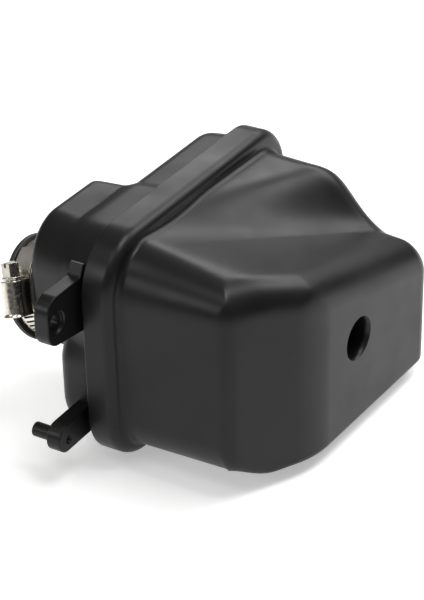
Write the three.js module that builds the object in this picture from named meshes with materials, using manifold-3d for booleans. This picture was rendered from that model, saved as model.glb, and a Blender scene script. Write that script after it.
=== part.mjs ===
// Air filter housing of a small engine, as separate pieces that come apart on a bench.
// Millimetres, +Z up. While it is built, the cover bolt lies on the X axis and the cover's open edge
// is the plane x = 0: the cover is on the +X side, the case and its outlet are on the -X side.
// At the end the whole group moves, so that its origin is under the middle of its bounding box.
import * as THREE from "three";
import { mergeVertices } from "three/addons/utils/BufferGeometryUtils.js";
import Module from "manifold-3d";

const wasm = await Module();
wasm.setup();

// ---------------------------------------------------------------- driving dimensions

const WALL = 2.5; // moulded wall of the cover and the case
const GAP = 0.3; // between pieces that touch

// The skirt round the cover's open edge, as an outline in Y and Z.
const SKIRT = { left: -72, right: 66, bottom: -45, top: 55, corner: 23.5, depth: 13, front: 4.5, wall: 2.6 };

// The cover beyond the skirt.
const COVER = { end: 81, endSlope: 0.055, left: -67, right: 61, bottom: -39.5, groove: 2.2, draft: 0.025 };
const BEVEL = { y: -27.5, angle: 61 }; // the oblique face between the -Y side and the end face
const FAN = { x: 22, y: -47, z: 49.5 }; // where the creases of the cover's top meet
const STEP = { y: 50, z: 46, slope: -0.11, foot: 64.5, wide: 31, drop: 21.2, bend: 0.32, crease: 0.15 };

// The case behind the cover.
const CASE = { rear: -18.4, left: -66.5, right: 60, bottom: -39.5, top: 51, corner: 19, edge: 6 };
const DRAFT = 0.05; // of the case's sides
const HUMP = { rear: -35, left: -66, right: -6, bottom: -4, top: 50, corner: 19, inner: 7, edge: 4, join: 3 };
const TONGUE = { inset: 3, wall: 2.5, from: GAP, to: 8.2 };
const LEDGE = 2.5; // the step in the case's mouth that the filter element rests on

// The bolt that holds the cover, and the well that it sits in.
const WELL = { radius: 8.6, wall: 2.6, floor: 32, floorWall: 3, lip: 0.8 };
const BOLT = { radius: 2.97, tip: -6, washer: 1.2, head: 5.6, flat: 10, flange: 6.6, clearance: 3.5 };
const POST = { radius: 7, top: 6.8 };
const INSERT = { radius: 4.4, from: -5 };

// The filter element and its two grids.
const ELEMENT = { inset: 5.9, rim: 5.4, from: LEDGE + GAP, to: 10.2, pleatFrom: -3.6, pitch: 6, paper: 0.9 };
const FOAM = { from: 10.6, to: 22.4, fit: 1.3 };
const GRID = { bar: 2, pitch: 24, thick: 2 };
const SUPPORT_AT = -8.2; // rear face of the grid behind the paper
const RETAINER_AT = 22.8; // rear face of the grid in front of the foam

// The two mounting ears on the case.
const EAR = { front: -2.7, thick: 6.3, root: -64.4, tip: -90.5, round: 7 };
const UPPER_EAR = { top: 38.8, bottom: 18.6, rootBottom: 15, holeY: -84.4, holeZ: 27.5 };
const EAR_TAB = { top: 43.2, y: -65.2, foot: -67.6, footTop: 38.7, round: 1.5 }; // above the upper ear's root
const LOWER_EAR = { top: -19.4, bottom: -31.6, round: 6.05, tip: -88.4 };
const EAR_HOLE = { radius: 3.2, recess: 4.6, recessDepth: 1.4 };
const PIN = { radius: 3, length: 9.6, drop: 1 };

// The rubber outlet joint, in its own tilted frame: x = 0 at its free end, +X into the case.
const OUTLET = { x: -49, y: -31.9, z: 4.1, tilt: 16.3 };
const JOINT = { bore: 16.4, seat: 19.3, lip: 22, lipWidth: 2.4, collar: 22.8, neck: 19.7, inner: 21.6 };
const SEAT_WIDTH = 11.4;
const COLLAR = { from: JOINT.lipWidth + SEAT_WIDTH, width: 2.6 };
const BOSS = { radius: 24.6, from: COLLAR.from + COLLAR.width + GAP, wall: 3, reach: 20 };

// The worm-drive clamp on the outlet joint, in the same tilted frame.
const BAND = { width: 9, thick: 0.7, from: JOINT.lipWidth + 0.5, inner: JOINT.seat + GAP };
const SLOTS = { count: 12, above: 5, pitch: 2.4, wide: 5.4 }; // in the band, round from the worm
const WORM = { radius: 3.5, neck: 2.4, flat: 7, head: 6.6, slot: 1.1, saddle: 0.9 };
const HOUSING = { wall: 0.9, length: 14.6, foot: 9.6 };
const CLAMP_TURN = 15; // degrees that the clamp is turned up from the -Y side

// The air inlet in the cover's +Y side.
const INLET = { x: 50, z: -8, radius: 11, wall: 1.8, flange: 14.5, depth: 15 };

// Material colours, as the pieces look.
const BLACK_PLASTIC = { color: 0x17171a, roughness: 0.42, metalness: 0 };
const GREY_PLASTIC = { color: 0x2a2b2e, roughness: 0.5, metalness: 0 };
const RUBBER = { color: 0x101011, roughness: 0.7, metalness: 0 };
const STEEL = { color: 0xc9c6bd, roughness: 0.28, metalness: 1 };
const BRASS = { color: 0xb5933f, roughness: 0.35, metalness: 1 };
const PAPER = { color: 0xc7ac78, roughness: 0.9, metalness: 0 };
const FOAM_GREY = { color: 0x3c3f44, roughness: 0.95, metalness: 0 };
const POLYURETHANE = { color: 0x8a2f22, roughness: 0.6, metalness: 0 };

// ---------------------------------------------------------------- solids

// A closed geometry as a solid that can be cut and joined, with its faces pointing out.
function solid(geometry) {
  const bare = geometry.clone();
  bare.deleteAttribute("normal");
  bare.deleteAttribute("uv");
  const merged = mergeVertices(bare, 1e-4);
  const corners = [...merged.index.array];
  const kept = [];
  for (let i = 0; i < corners.length; i += 3) {
    const [a, b, c] = corners.slice(i, i + 3);
    if (a !== b && b !== c && c !== a) kept.push(a, b, c);
  }
  const build = (triVerts) =>
    new wasm.Manifold(
      new wasm.Mesh({ numProp: 3, vertProperties: merged.attributes.position.array, triVerts }),
    );
  const body = build(new Uint32Array(kept));
  return body.volume() < 0 ? build(new Uint32Array(kept.reverse())) : body;
}

// All the given solids joined into one.
const join = (first, ...others) => others.reduce((body, other) => body.add(other), first);

// The first solid with all the others cut away.
const cut = (first, ...others) => others.reduce((body, other) => body.subtract(other), first);

// A named mesh of a solid.
function piece(name, body, look) {
  const { numProp, vertProperties, triVerts } = body.getMesh();
  const positions = [];
  for (let i = 0; i < vertProperties.length; i += numProp) {
    positions.push(vertProperties[i], vertProperties[i + 1], vertProperties[i + 2]);
  }
  const geometry = new THREE.BufferGeometry();
  geometry.setAttribute("position", new THREE.Float32BufferAttribute(positions, 3));
  geometry.setIndex([...triVerts]);
  geometry.computeVertexNormals();
  const mesh = new THREE.Mesh(geometry, new THREE.MeshStandardMaterial({ ...look, flatShading: true }));
  mesh.name = name;
  return mesh;
}

// A box between two corners.
function block(x0, x1, y0, y1, z0, z1) {
  const box = new THREE.BoxGeometry(x1 - x0, y1 - y0, z1 - z0);
  return solid(box.translate((x0 + x1) / 2, (y0 + y1) / 2, (z0 + z1) / 2));
}

// A solid of revolution about the X axis through (y, z). Each profile point is [radius, x].
function turned(profile, sides, y = 0, z = 0) {
  const points = profile.map(([radius, x]) => new THREE.Vector2(radius, x));
  return solid(new THREE.LatheGeometry(points, sides).rotateZ(-Math.PI / 2).translate(0, y, z));
}

// A round bar along X.
const bar = (radius, x0, x1, sides, y = 0, z = 0) =>
  turned([[0, x0], [radius, x0], [radius, x1], [0, x1]], sides, y, z);

// A round tube along X.
const tube = (outer, inner, x0, x1, sides, y = 0, z = 0) =>
  turned([[inner, x0], [outer, x0], [outer, x1], [inner, x1], [inner, x0]], sides, y, z);

// An outline in Y and Z, carried from x0 to x1.
function plate(outline, x0, x1, curveSegments = 5) {
  const settings = { depth: x1 - x0, bevelEnabled: false, curveSegments };
  const geometry = new THREE.ExtrudeGeometry(outline, settings);
  const [X, Y, Z] = [new THREE.Vector3(1, 0, 0), new THREE.Vector3(0, 1, 0), new THREE.Vector3(0, 0, 1)];
  geometry.applyMatrix4(new THREE.Matrix4().makeBasis(Y, Z, X));
  return solid(geometry.translate(x0, 0, 0));
}

// A closed polygon with its corners rounded. Each corner is [y, z, radius].
function roundedOutline(corners) {
  const outline = new THREE.Shape();
  corners.forEach(([y, z, radius], i) => {
    const here = new THREE.Vector2(y, z);
    const before = new THREE.Vector2(...corners[(i + corners.length - 1) % corners.length]);
    const after = new THREE.Vector2(...corners[(i + 1) % corners.length]);
    const back = before.sub(here).normalize();
    const on = after.sub(here).normalize();
    const half = Math.acos(THREE.MathUtils.clamp(back.dot(on), -1, 1)) / 2;
    const run = radius / Math.tan(half);
    const start = here.clone().addScaledVector(back, run);
    const end = here.clone().addScaledVector(on, run);
    if (i === 0) outline.moveTo(start.x, start.y);
    else outline.lineTo(start.x, start.y);
    if (radius > 0) {
      const middle = back.clone().add(on).normalize();
      const centre = here.clone().addScaledVector(middle, radius / Math.sin(half));
      const from = start.sub(centre).angle();
      const to = end.sub(centre).angle();
      const turn = back.cross(on) > 0;
      outline.absarc(centre.x, centre.y, radius, from, to, turn);
    }
  });
  outline.closePath();
  return outline;
}

// The skirt's outline moved inwards.
function skirtOutline(inset, corner = Math.max(SKIRT.corner - inset, 4)) {
  const [y0, y1] = [SKIRT.left + inset, SKIRT.right - inset];
  const [z0, z1] = [SKIRT.bottom + inset, SKIRT.top - inset];
  return roundedOutline([[y0, z0, corner], [y1, z0, corner], [y1, z1, corner], [y0, z1, corner]]);
}

// ---------------------------------------------------------------- smooth shells

// Distances are negative inside. A rounded edge where two faces meet, and a hollow fillet
// where two bodies join.
const rounded = (a, b, r) =>
  Math.min(-r, Math.max(a, b)) + Math.hypot(Math.max(a + r, 0), Math.max(b + r, 0));
const filleted = (a, b, r) =>
  Math.max(r, Math.min(a, b)) - Math.hypot(Math.max(r - a, 0), Math.max(r - b, 0));

// A value that eases from v0 at x0 to v1 at x1.
const eased = (x, x0, v0, x1, v1) => v0 + (v1 - v0) * THREE.MathUtils.smoothstep(x, x0, x1);

// The distance to a rectangle in Y and Z with rounded corners. The corners on the +Y side
// may have a radius of their own.
function rectangle(y, z, { left, right, bottom, top, corner, inner = corner }) {
  const radius = 2 * y > left + right ? inner : corner;
  return rounded(Math.max(left - y, y - right), Math.max(bottom - z, z - top), radius);
}

// The height of the cover's top: an upper deck next to the skirt slopes down to a lower deck. The step
// starts from nothing at one point by the -Y side, grows towards the +Y side, and ends in a crease.
function topOfCover(x, y) {
  const across = y - FAN.y;
  const share = (across + Math.hypot(across, 5)) / 2 / (STEP.y - FAN.y);
  const creaseAt = FAN.x + (STEP.foot - FAN.x) * share;
  const t = THREE.MathUtils.clamp((x - creaseAt) / STEP.wide + 1, 0, 1);
  const fall = (1 - STEP.bend) * THREE.MathUtils.smootherstep(t, 0, 1) + STEP.bend * t * t;
  const rest = STEP.drop * (1 - fall);
  const drop = (STEP.drop + STEP.crease) * fall + rest - Math.hypot(rest, STEP.crease);
  const crown = FAN.z - STEP.z;
  return FAN.z + STEP.slope * (x - FAN.x) - (crown + drop) * share;
}

// The cover's outer wall without its skirt.
function coverWall(x, y, z) {
  const lean = COVER.draft * (x - SKIRT.depth);
  const bevel = THREE.MathUtils.degToRad(BEVEL.angle);
  const left = COVER.left + lean - y;
  const oblique = Math.sin(bevel) * (x - COVER.end) - Math.cos(bevel) * (y - BEVEL.y);
  const right = y - COVER.right;
  const end = (x - COVER.end - COVER.endSlope * y) / Math.hypot(1, COVER.endSlope);
  const plan = rounded(rounded(left, oblique, 4), rounded(right, end, 10), 4);
  const step = 0.05;
  const slopeX = (topOfCover(x + step, y) - topOfCover(x - step, y)) / (2 * step);
  const slopeY = (topOfCover(x, y + step) - topOfCover(x, y - step)) / (2 * step);
  const top = (z - topOfCover(x, y)) / Math.hypot(1, slopeX, slopeY);
  const bottom = COVER.bottom - z;
  const topEdge = eased(x, 14, 20, 66, 13);
  const bottomEdge = eased(x, 54, eased(y, -20, 19, 20, 6), 70, 2.5);
  return rounded(rounded(plan, bottom, bottomEdge), top, topEdge);
}

// The cover with its skirt.
function coverOutside(x, y, z) {
  const skirt = rounded(rectangle(y, z, SKIRT), x - SKIRT.depth, SKIRT.front);
  return filleted(skirt, coverWall(x, y, z), COVER.groove);
}

// The case: a shallow tray with a deeper hump at its upper -Y corner, where the outlet is.
function caseOutside(x, y, z) {
  const lean = -DRAFT * x;
  const besideHump = eased(z, -4, 0, 12, 1);
  const tray = rounded(rectangle(y, z, {
    left: CASE.left + lean + besideHump * (4 * lean + 2.5),
    right: CASE.right - lean,
    bottom: CASE.bottom + lean / 2,
    top: CASE.top - lean * 2,
    corner: CASE.corner,
  }), CASE.rear - x, CASE.edge);
  const hump = rounded(rectangle(y, z, {
    left: HUMP.left + 5 * lean,
    right: HUMP.right - lean,
    bottom: HUMP.bottom + 2 * lean,
    top: HUMP.top - lean,
    corner: HUMP.corner,
    inner: HUMP.inner,
  }), HUMP.rear - x, HUMP.edge);
  return filleted(tray, hump, HUMP.join);
}

// Directions in the Y-Z plane from a centre to points spread round a rounded rectangle, with
// more of them along the top, where the cover has its creases.
function directionsFrom(centreY, centreZ, topCount) {
  const found = [];
  const { left, right, bottom, top, corner } = SKIRT;
  const side = (y0, z0, y1, z1, count) => {
    for (let i = 0; i < count; i++) {
      found.push([y0 + ((y1 - y0) * i) / count - centreY, z0 + ((z1 - z0) * i) / count - centreZ]);
    }
  };
  const arc = (y, z, start) => {
    const count = 5;
    for (let i = 0; i < count; i++) {
      const turn = start + ((Math.PI / 2) * i) / count;
      found.push([y + corner * Math.cos(turn) - centreY, z + corner * Math.sin(turn) - centreZ]);
    }
  };
  side(right, bottom + corner, right, top - corner, 3);
  arc(right - corner, top - corner, 0);
  side(right - corner, top, left + corner, top, topCount);
  arc(left + corner, top - corner, Math.PI / 2);
  side(left, top - corner, left, bottom + corner, 4);
  arc(left + corner, bottom + corner, Math.PI);
  side(left + corner, bottom, right - corner, bottom, 3);
  arc(right - corner, bottom + corner, -Math.PI / 2);
  return found.map(([y, z]) => [y / Math.hypot(y, z), z / Math.hypot(y, z)]);
}

// A closed body whose rings lie where distance(x, y, z) = level. Each ring starts at one of the
// given x stations, and leans over by tilt(station) along Y.
function lofted(distance, level, stations, centreY, centreZ, topCount, tilt = () => 0) {
  const directions = directionsFrom(centreY, centreZ, topCount);
  const around = directions.length;
  const positions = [];
  const lying = (station, y) => station + tilt(station) * y;
  for (const station of stations) {
    for (const [dy, dz] of directions) {
      let [near, far] = [0, 160];
      for (let i = 0; i < 30; i++) {
        const middle = (near + far) / 2;
        const [y, z] = [centreY + middle * dy, centreZ + middle * dz];
        if (distance(lying(station, y), y, z) > level + 1e-5) far = middle;
        else near = middle;
      }
      const [y, z] = [centreY + near * dy, centreZ + near * dz];
      positions.push(lying(station, y), y, z);
    }
  }
  const index = [];
  for (let ring = 0; ring + 1 < stations.length; ring++) {
    for (let i = 0; i < around; i++) {
      const [a, b] = [ring * around + i, ring * around + ((i + 1) % around)];
      index.push(a, b, b + around, a, b + around, a + around);
    }
  }
  const last = (stations.length - 1) * around;
  const middles = positions.length / 3;
  for (const station of [stations[0], stations.at(-1)]) {
    positions.push(lying(station, centreY), centreY, centreZ);
  }
  for (let i = 0; i < around; i++) {
    const next = (i + 1) % around;
    index.push(middles, next, i, middles + 1, last + i, last + next);
  }
  const geometry = new THREE.BufferGeometry();
  geometry.setAttribute("position", new THREE.Float32BufferAttribute(positions, 3));
  geometry.setIndex(index);
  return solid(geometry);
}

// ---------------------------------------------------------------- cover and what rides on it

const COVER_MIDDLE = [46, -10];
const CASE_MIDDLE = [-38, 16];

// The cover's rings lean over gradually until they lie along its sloping end face.
const coverTilt = (station) => eased(station, 40, 0, 70, COVER.endSlope);

function cover() {
  const innerEnd = COVER.end - WALL * Math.hypot(1, COVER.endSlope) - 0.02;
  const outerEnd = COVER.end - 0.02;
  const outerStations = [
    0, 9, 11.8, 13, 13.8, 17, 22, 29, 38, 45, 51, 57, 61.5, 66, 70, 73, 75.5, 77.6, 79.2, 80.3, outerEnd,
  ];
  const innerStations = [-5, 14, 22, 29, 40, 48, 55, 61, 67, 71, 74, 76, 77.5, innerEnd];
  const outside = lofted(coverOutside, 0, outerStations, ...COVER_MIDDLE, 12, coverTilt);
  const inside = lofted(coverWall, -WALL, innerStations, ...COVER_MIDDLE, 9, coverTilt);
  const pocket = plate(skirtOutline(SKIRT.wall), -5, SKIRT.depth - WALL);
  const wellTube = bar(WELL.radius + WELL.wall, WELL.floor - WELL.floorWall, COVER.end - 1, 28);
  const wellBore = turned([
    [0, WELL.floor],
    [WELL.radius, WELL.floor],
    [WELL.radius, COVER.end - WELL.lip],
    [WELL.radius + WELL.lip, COVER.end + 0.1],
    [WELL.radius + WELL.lip, COVER.end + 5],
    [0, COVER.end + 5],
  ], 28);
  const boltHole = bar(BOLT.clearance, 0, WELL.floor + 1, 16);
  const inletHole = bar(INLET.radius + INLET.wall + GAP, -20, 20, 28).rotate([0, 0, 90]);
  const inletCut = inletHole.translate([INLET.x, COVER.right, INLET.z]);
  return cut(join(cut(outside, inside, pocket), wellTube), wellBore, boltHole, inletCut);
}

// The sealing cord in the bottom of the skirt's channel.
function coverSeal() {
  const [from, to] = [TONGUE.to + 0.2, SKIRT.depth - WALL - 0.1];
  return cut(
    plate(skirtOutline(TONGUE.inset), from, to),
    plate(skirtOutline(TONGUE.inset + TONGUE.wall), from - 1, to + 1),
  );
}

// A slab that fills the cover between two planes, with a gap all round.
const coverSlice = (from, to, gap) => lofted(coverWall, -WALL - gap, [from, to], ...COVER_MIDDLE, 9);

// A slab cut into a rim, crossing bars and a hub round the bolt.
function grid(slab, smaller, at, hubBore) {
  const to = at + GRID.thick;
  const rim = cut(slab, smaller);
  const bars = [];
  const middleY = (SKIRT.left + SKIRT.right) / 2;
  const middleZ = (SKIRT.bottom + SKIRT.top) / 2;
  for (const offset of [-1.5, -0.5, 0.5, 1.5]) {
    const y = middleY + offset * GRID.pitch;
    bars.push(block(at, to, y - GRID.bar / 2, y + GRID.bar / 2, SKIRT.bottom, SKIRT.top));
  }
  for (const offset of [-1, 0, 1]) {
    const z = middleZ + offset * GRID.pitch;
    bars.push(block(at, to, SKIRT.left, SKIRT.right, z - GRID.bar / 2, z + GRID.bar / 2));
  }
  const lattice = join(...bars).intersect(slab);
  return cut(join(rim, lattice, bar(hubBore + 3, at, to, 20)), bar(hubBore, at - 1, to + 1, 20));
}

function retainerGrid() {
  const [from, to] = [RETAINER_AT, RETAINER_AT + GRID.thick];
  const opening = coverSlice(from - 1, to + 1, 6);
  return grid(coverSlice(from, to, 2), opening, from, BOLT.clearance + 3);
}

function boltWasher() {
  return tube(WELL.radius - 0.5, BOLT.radius + GAP, WELL.floor + 0.2, WELL.floor + 0.2 + BOLT.washer, 28);
}

// A hexagonal flange screw with a dished head.
function coverBolt() {
  const seat = WELL.floor + 0.2 + BOLT.washer + 0.1;
  const shank = turned([
    [0, BOLT.tip],
    [BOLT.radius - 0.8, BOLT.tip],
    [BOLT.radius, BOLT.tip + 1],
    [BOLT.radius, seat],
    [BOLT.flange, seat],
    [BOLT.flange, seat + 1],
    [BOLT.flange - 1.4, seat + 1.7],
    [0, seat + 1.7],
  ], 20);
  const hex = bar(BOLT.flat / Math.sqrt(3), seat + 1, seat + BOLT.head, 6);
  const dish = bar(BOLT.flat / 2 - 1.6, seat + BOLT.head - 0.8, seat + BOLT.head + 1, 16);
  return cut(join(shank, hex), dish);
}

// The rubber ring on the bolt that keeps it in the cover.
function captiveRing() {
  const [from, to] = [WELL.floor - WELL.floorWall - 2.4, WELL.floor - WELL.floorWall - 0.3];
  return tube(BOLT.clearance + 2, BOLT.radius + 0.1, from, to, 20);
}

// A tube along +Y through the cover's side, with a thin flange outside.
function inletSnorkel() {
  const outer = INLET.radius + INLET.wall;
  const profile = [
    [INLET.radius, -INLET.depth],
    [outer, -INLET.depth],
    [outer, GAP],
    [INLET.flange, GAP],
    [INLET.flange, 1.6],
    [INLET.radius + 0.8, 1.6],
    [INLET.radius, 0.8],
    [INLET.radius, -INLET.depth],
  ];
  return turned(profile, 28).rotate([0, 0, 90]).translate([INLET.x, COVER.right, INLET.z]);
}

// A perforated disc of the given radius, facing X, with its holes in a hexagonal pattern.
function perforatedDisc(radius, from, to, pitch, hole) {
  const holes = [];
  const rows = Math.ceil(radius / pitch);
  for (let row = -rows; row <= rows; row++) {
    for (let column = -rows; column <= rows; column++) {
      const y = pitch * (column + (row % 2) / 2);
      const z = (pitch * row * Math.sqrt(3)) / 2;
      if (Math.hypot(y, z) < radius - hole - 1.5) holes.push(bar(hole, from - 1, to + 1, 6, y, z));
    }
  }
  return cut(bar(radius, from, to, 20), ...holes);
}

function inletScreen() {
  const disc = perforatedDisc(INLET.radius - GAP, 0, 1, 4.6, 1.8).rotate([0, 0, 90]);
  return disc.translate([INLET.x, COVER.right - INLET.depth + 1, INLET.z]);
}

// ---------------------------------------------------------------- filter element

// The moulded edge that seals the paper in the case's mouth, with two webs and a collar.
function elementFrame() {
  const { inset, rim, from, to } = ELEMENT;
  const ring = cut(plate(skirtOutline(inset), from, to), plate(skirtOutline(inset + rim), from - 1, to + 1));
  const collar = POST.radius + 4.5;
  const webs = [
    block(to - 1.6, to, SKIRT.left + inset + 2, SKIRT.right - inset - 2, -1.5, 1.5),
    bar(collar, to - 1.6, to, 24),
  ];
  return cut(join(ring, ...webs), bar(POST.radius + 1, from, to + 1, 24));
}

// The pleated paper, as one folded sheet across the frame.
function pleatedPaper() {
  const inset = ELEMENT.inset + ELEMENT.rim + GAP;
  const [y0, y1] = [SKIRT.left + inset, SKIRT.right - inset];
  const [low, high] = [ELEMENT.pleatFrom, ELEMENT.to - 2];
  const count = Math.floor((y1 - y0) / ELEMENT.pitch);
  const pitch = (y1 - y0) / count;
  const back = [];
  const front = [];
  for (let i = 0; i <= 2 * count; i++) {
    const y = y0 + (pitch * i) / 2;
    const x = i % 2 ? high : low;
    back.push(new THREE.Vector2(x - (i % 2 ? 2 * ELEMENT.paper : 0), y));
    front.push(new THREE.Vector2(x + (i % 2 ? 0 : 2 * ELEMENT.paper), y));
  }
  const sheet = new THREE.Shape([...back, ...front.reverse()]);
  const tall = SKIRT.top - SKIRT.bottom;
  const folded = new THREE.ExtrudeGeometry(sheet, { depth: tall, bevelEnabled: false });
  const body = solid(folded.translate(0, 0, SKIRT.bottom));
  const edge = plate(skirtOutline(inset), low - 1, high + 1, 4);
  return cut(body.intersect(edge), bar(POST.radius + 1.4, low - 1, high + 1, 20));
}

function prefilterFoam() {
  const withinSeal = plate(skirtOutline(TONGUE.inset + TONGUE.wall + FOAM.fit), FOAM.from - 1, FOAM.to + 1);
  const pad = coverSlice(FOAM.from, FOAM.to, FOAM.fit).intersect(withinSeal);
  return cut(pad, bar(BOLT.clearance + 2, FOAM.from - 1, FOAM.to + 1, 20));
}

// ---------------------------------------------------------------- case and what is fixed to it

const SUPPORT_SCREWS = [[-46, -19], [42, 29]];

// The outline of the upper ear and its bolt hole.
function upperEar() {
  const { top, bottom, rootBottom, holeY, holeZ } = UPPER_EAR;
  const outline = roundedOutline([
    [EAR.root, rootBottom, 0],
    [EAR.root, EAR_TAB.top, 0],
    [EAR_TAB.y, EAR_TAB.top, 0],
    [EAR_TAB.foot, EAR_TAB.footTop, EAR_TAB.round],
    [EAR.tip, top, EAR.round],
    [EAR.tip, bottom, EAR.round],
  ]);
  const [rear, front] = [EAR.front - EAR.thick, EAR.front];
  return cut(
    plate(outline, rear, front, 6),
    bar(EAR_HOLE.radius, rear - 1, front + 1, 20, holeY, holeZ),
    bar(EAR_HOLE.recess, front - EAR_HOLE.recessDepth, front + 1, 20, holeY, holeZ),
  );
}

// The lower ear carries a locating pin on its rear face and a shallow dimple on its front face.
function lowerEar() {
  const { top, bottom, round, tip } = LOWER_EAR;
  const outline = roundedOutline([
    [EAR.root, bottom, 0],
    [EAR.root, top, 0],
    [tip, top, round],
    [tip, bottom, round],
  ]);
  const [rear, front] = [EAR.front - EAR.thick, EAR.front];
  const [y, z] = [tip + round + 0.4, (top + bottom) / 2 - PIN.drop];
  const pin = turned([
    [0, rear - PIN.length],
    [PIN.radius - 0.5, rear - PIN.length],
    [PIN.radius, rear - PIN.length + 0.6],
    [PIN.radius, rear + 1],
    [0, rear + 1],
  ], 20, y, z);
  return cut(join(plate(outline, rear, front, 6), pin), bar(1.6, front - 1.2, front + 1, 14, y, z));
}

// A solid on the outlet's -Y side, turned up round the outlet's axis to where the clamp sits.
const clampTurned = (body) => body.rotate([-CLAMP_TURN, 0, 0]);

// A solid in the outlet's tilted frame, moved to its place.
const atOutlet = (body) => body.rotate([0, -OUTLET.tilt, 0]).translate([OUTLET.x, OUTLET.y, OUTLET.z]);

function caseBody() {
  const [humpFloor, trayFloor] = [HUMP.rear + WALL, CASE.rear + WALL];
  const outerStations = [
    HUMP.rear, -34.6, -33.4, -31, -26, -22.4, -20, CASE.rear, CASE.rear + 0.1, -17.6, -15.6, -12.4, GAP,
  ];
  const innerStations = [humpFloor, -31.6, -30, -24, -20, -17.3, trayFloor, trayFloor + 0.1, -14.6, -12, 12];
  const outside = lofted(caseOutside, 0, outerStations, ...CASE_MIDDLE, 8);
  const inside = lofted(caseOutside, -WALL, innerStations, ...CASE_MIDDLE, 6);
  const tongue = plate(skirtOutline(TONGUE.inset), TONGUE.from, TONGUE.to);
  const mouth = plate(skirtOutline(TONGUE.inset + TONGUE.wall), LEDGE, TONGUE.to + 1);
  const boss = atOutlet(bar(BOSS.radius, BOSS.from, BOSS.from + BOSS.reach, 36));
  const bossFace = atOutlet(bar(BOSS.radius, 0, BOSS.from + BOSS.wall, 36));
  const outlined = join(outside, boss);
  const floor = CASE.rear + 1;
  const post = bar(POST.radius, floor, POST.top, 24);
  const towers = SUPPORT_SCREWS.map(([y, z]) => bar(4, floor, SUPPORT_AT - GAP, 16, y, z));
  const outletCuts = [
    atOutlet(bar(JOINT.collar + 0.6, -BOSS.reach, BOSS.from, 36)),
    atOutlet(bar(JOINT.neck + GAP, BOSS.from - 1, BOSS.from + BOSS.wall + 1, 36)),
    atOutlet(bar(BOSS.radius - WALL, BOSS.from + BOSS.wall, BOSS.from + BOSS.reach + 4, 36)),
  ];
  const bores = [
    bar(INSERT.radius + 0.1, INSERT.from, POST.top + 1, 20),
    bar(BOLT.radius + 0.6, INSERT.from - 5, INSERT.from + 1, 16),
    ...SUPPORT_SCREWS.map(([y, z]) => bar(1.5, floor + 2, SUPPORT_AT, 12, y, z)),
  ];
  const shell = cut(join(outlined, tongue), inside, mouth);
  const withOutlet = cut(join(shell, bossFace.intersect(outlined)), ...outletCuts);
  return cut(join(withOutlet, upperEar(), lowerEar(), post, ...towers), ...bores);
}

function caseInsert() {
  return tube(INSERT.radius, BOLT.radius + 0.08, INSERT.from + 0.1, POST.top, 20);
}

function supportGrid() {
  const holes = SUPPORT_SCREWS.map(([y, z]) => bar(1.9, SUPPORT_AT - 1, SUPPORT_AT + 5, 12, y, z));
  const pads = SUPPORT_SCREWS.map(([y, z]) => bar(4.4, SUPPORT_AT, SUPPORT_AT + GRID.thick, 16, y, z));
  const [from, to] = [SUPPORT_AT, SUPPORT_AT + GRID.thick];
  const slab = plate(skirtOutline(11.4, 15), from, to);
  const lattice = grid(slab, plate(skirtOutline(15.4, 11), from - 1, to + 1), from, POST.radius + 0.5);
  return cut(join(lattice, ...pads), ...holes);
}

function supportScrew([y, z]) {
  const seat = SUPPORT_AT + GRID.thick + 0.1;
  const tip = CASE.rear + 3.2;
  const shank = [[0, tip], [0.9, tip + 0.6], [1.4, tip + 1.6], [1.4, seat]];
  const head = [[3, seat], [2.6, seat + 1.2], [0, seat + 1.5]];
  const drive = block(seat + 0.8, seat + 2, y - 2, y + 2, z - 0.35, z + 0.35);
  const cross = block(seat + 0.8, seat + 2, y - 0.35, y + 0.35, z - 2, z + 2);
  return cut(turned([...shank, ...head], 14, y, z), drive, cross);
}

// The rubber joint: lip, seat for the clamp, outer collar, neck in the boss and inner collar.
function outletJoint() {
  const { bore, seat, lip, lipWidth, collar, neck, inner } = JOINT;
  const neckFrom = COLLAR.from + COLLAR.width;
  const neckTo = BOSS.from + BOSS.wall + GAP;
  return turned([
    [bore, 0.8],
    [bore + 0.8, 0],
    [lip - 0.5, 0],
    [lip, 0.5],
    [lip, lipWidth - 0.6],
    [lip - 0.6, lipWidth],
    [seat, lipWidth],
    [seat, COLLAR.from],
    [collar - 0.8, COLLAR.from],
    [collar, COLLAR.from + 0.8],
    [collar, neckFrom],
    [neck, neckFrom],
    [neck, neckTo],
    [inner, neckTo],
    [inner - 0.8, neckTo + 2],
    [bore + 1, neckTo + 2.6],
    [bore, neckTo + 1.6],
    [bore, 0.8],
  ], 36);
}

function backfireScreen() {
  const at = BOSS.from - 1;
  return perforatedDisc(JOINT.bore - 0.1, at, at + 1, 5.4, 2.1);
}

const bandOuter = BAND.inner + BAND.thick;
const wormAt = bandOuter + WORM.saddle + WORM.radius; // distance of the worm's axis from the outlet's

function clampBand() {
  const [from, to] = [BAND.from, BAND.from + BAND.width];
  const ring = tube(bandOuter, BAND.inner, from, to, 48);
  const middle = (from + to) / 2;
  const slots = [];
  for (let i = 0; i < SLOTS.count; i++) {
    const turn = ((i - SLOTS.above) * SLOTS.pitch) / bandOuter;
    const [left, right] = [middle - SLOTS.wide / 2, middle + SLOTS.wide / 2];
    const slot = block(left, right, -bandOuter - 1, -JOINT.seat, -0.45, 0.45);
    slots.push(slot.rotate([THREE.MathUtils.radToDeg(turn), 0, 0]));
  }
  return clampTurned(cut(ring, ...slots));
}

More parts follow.
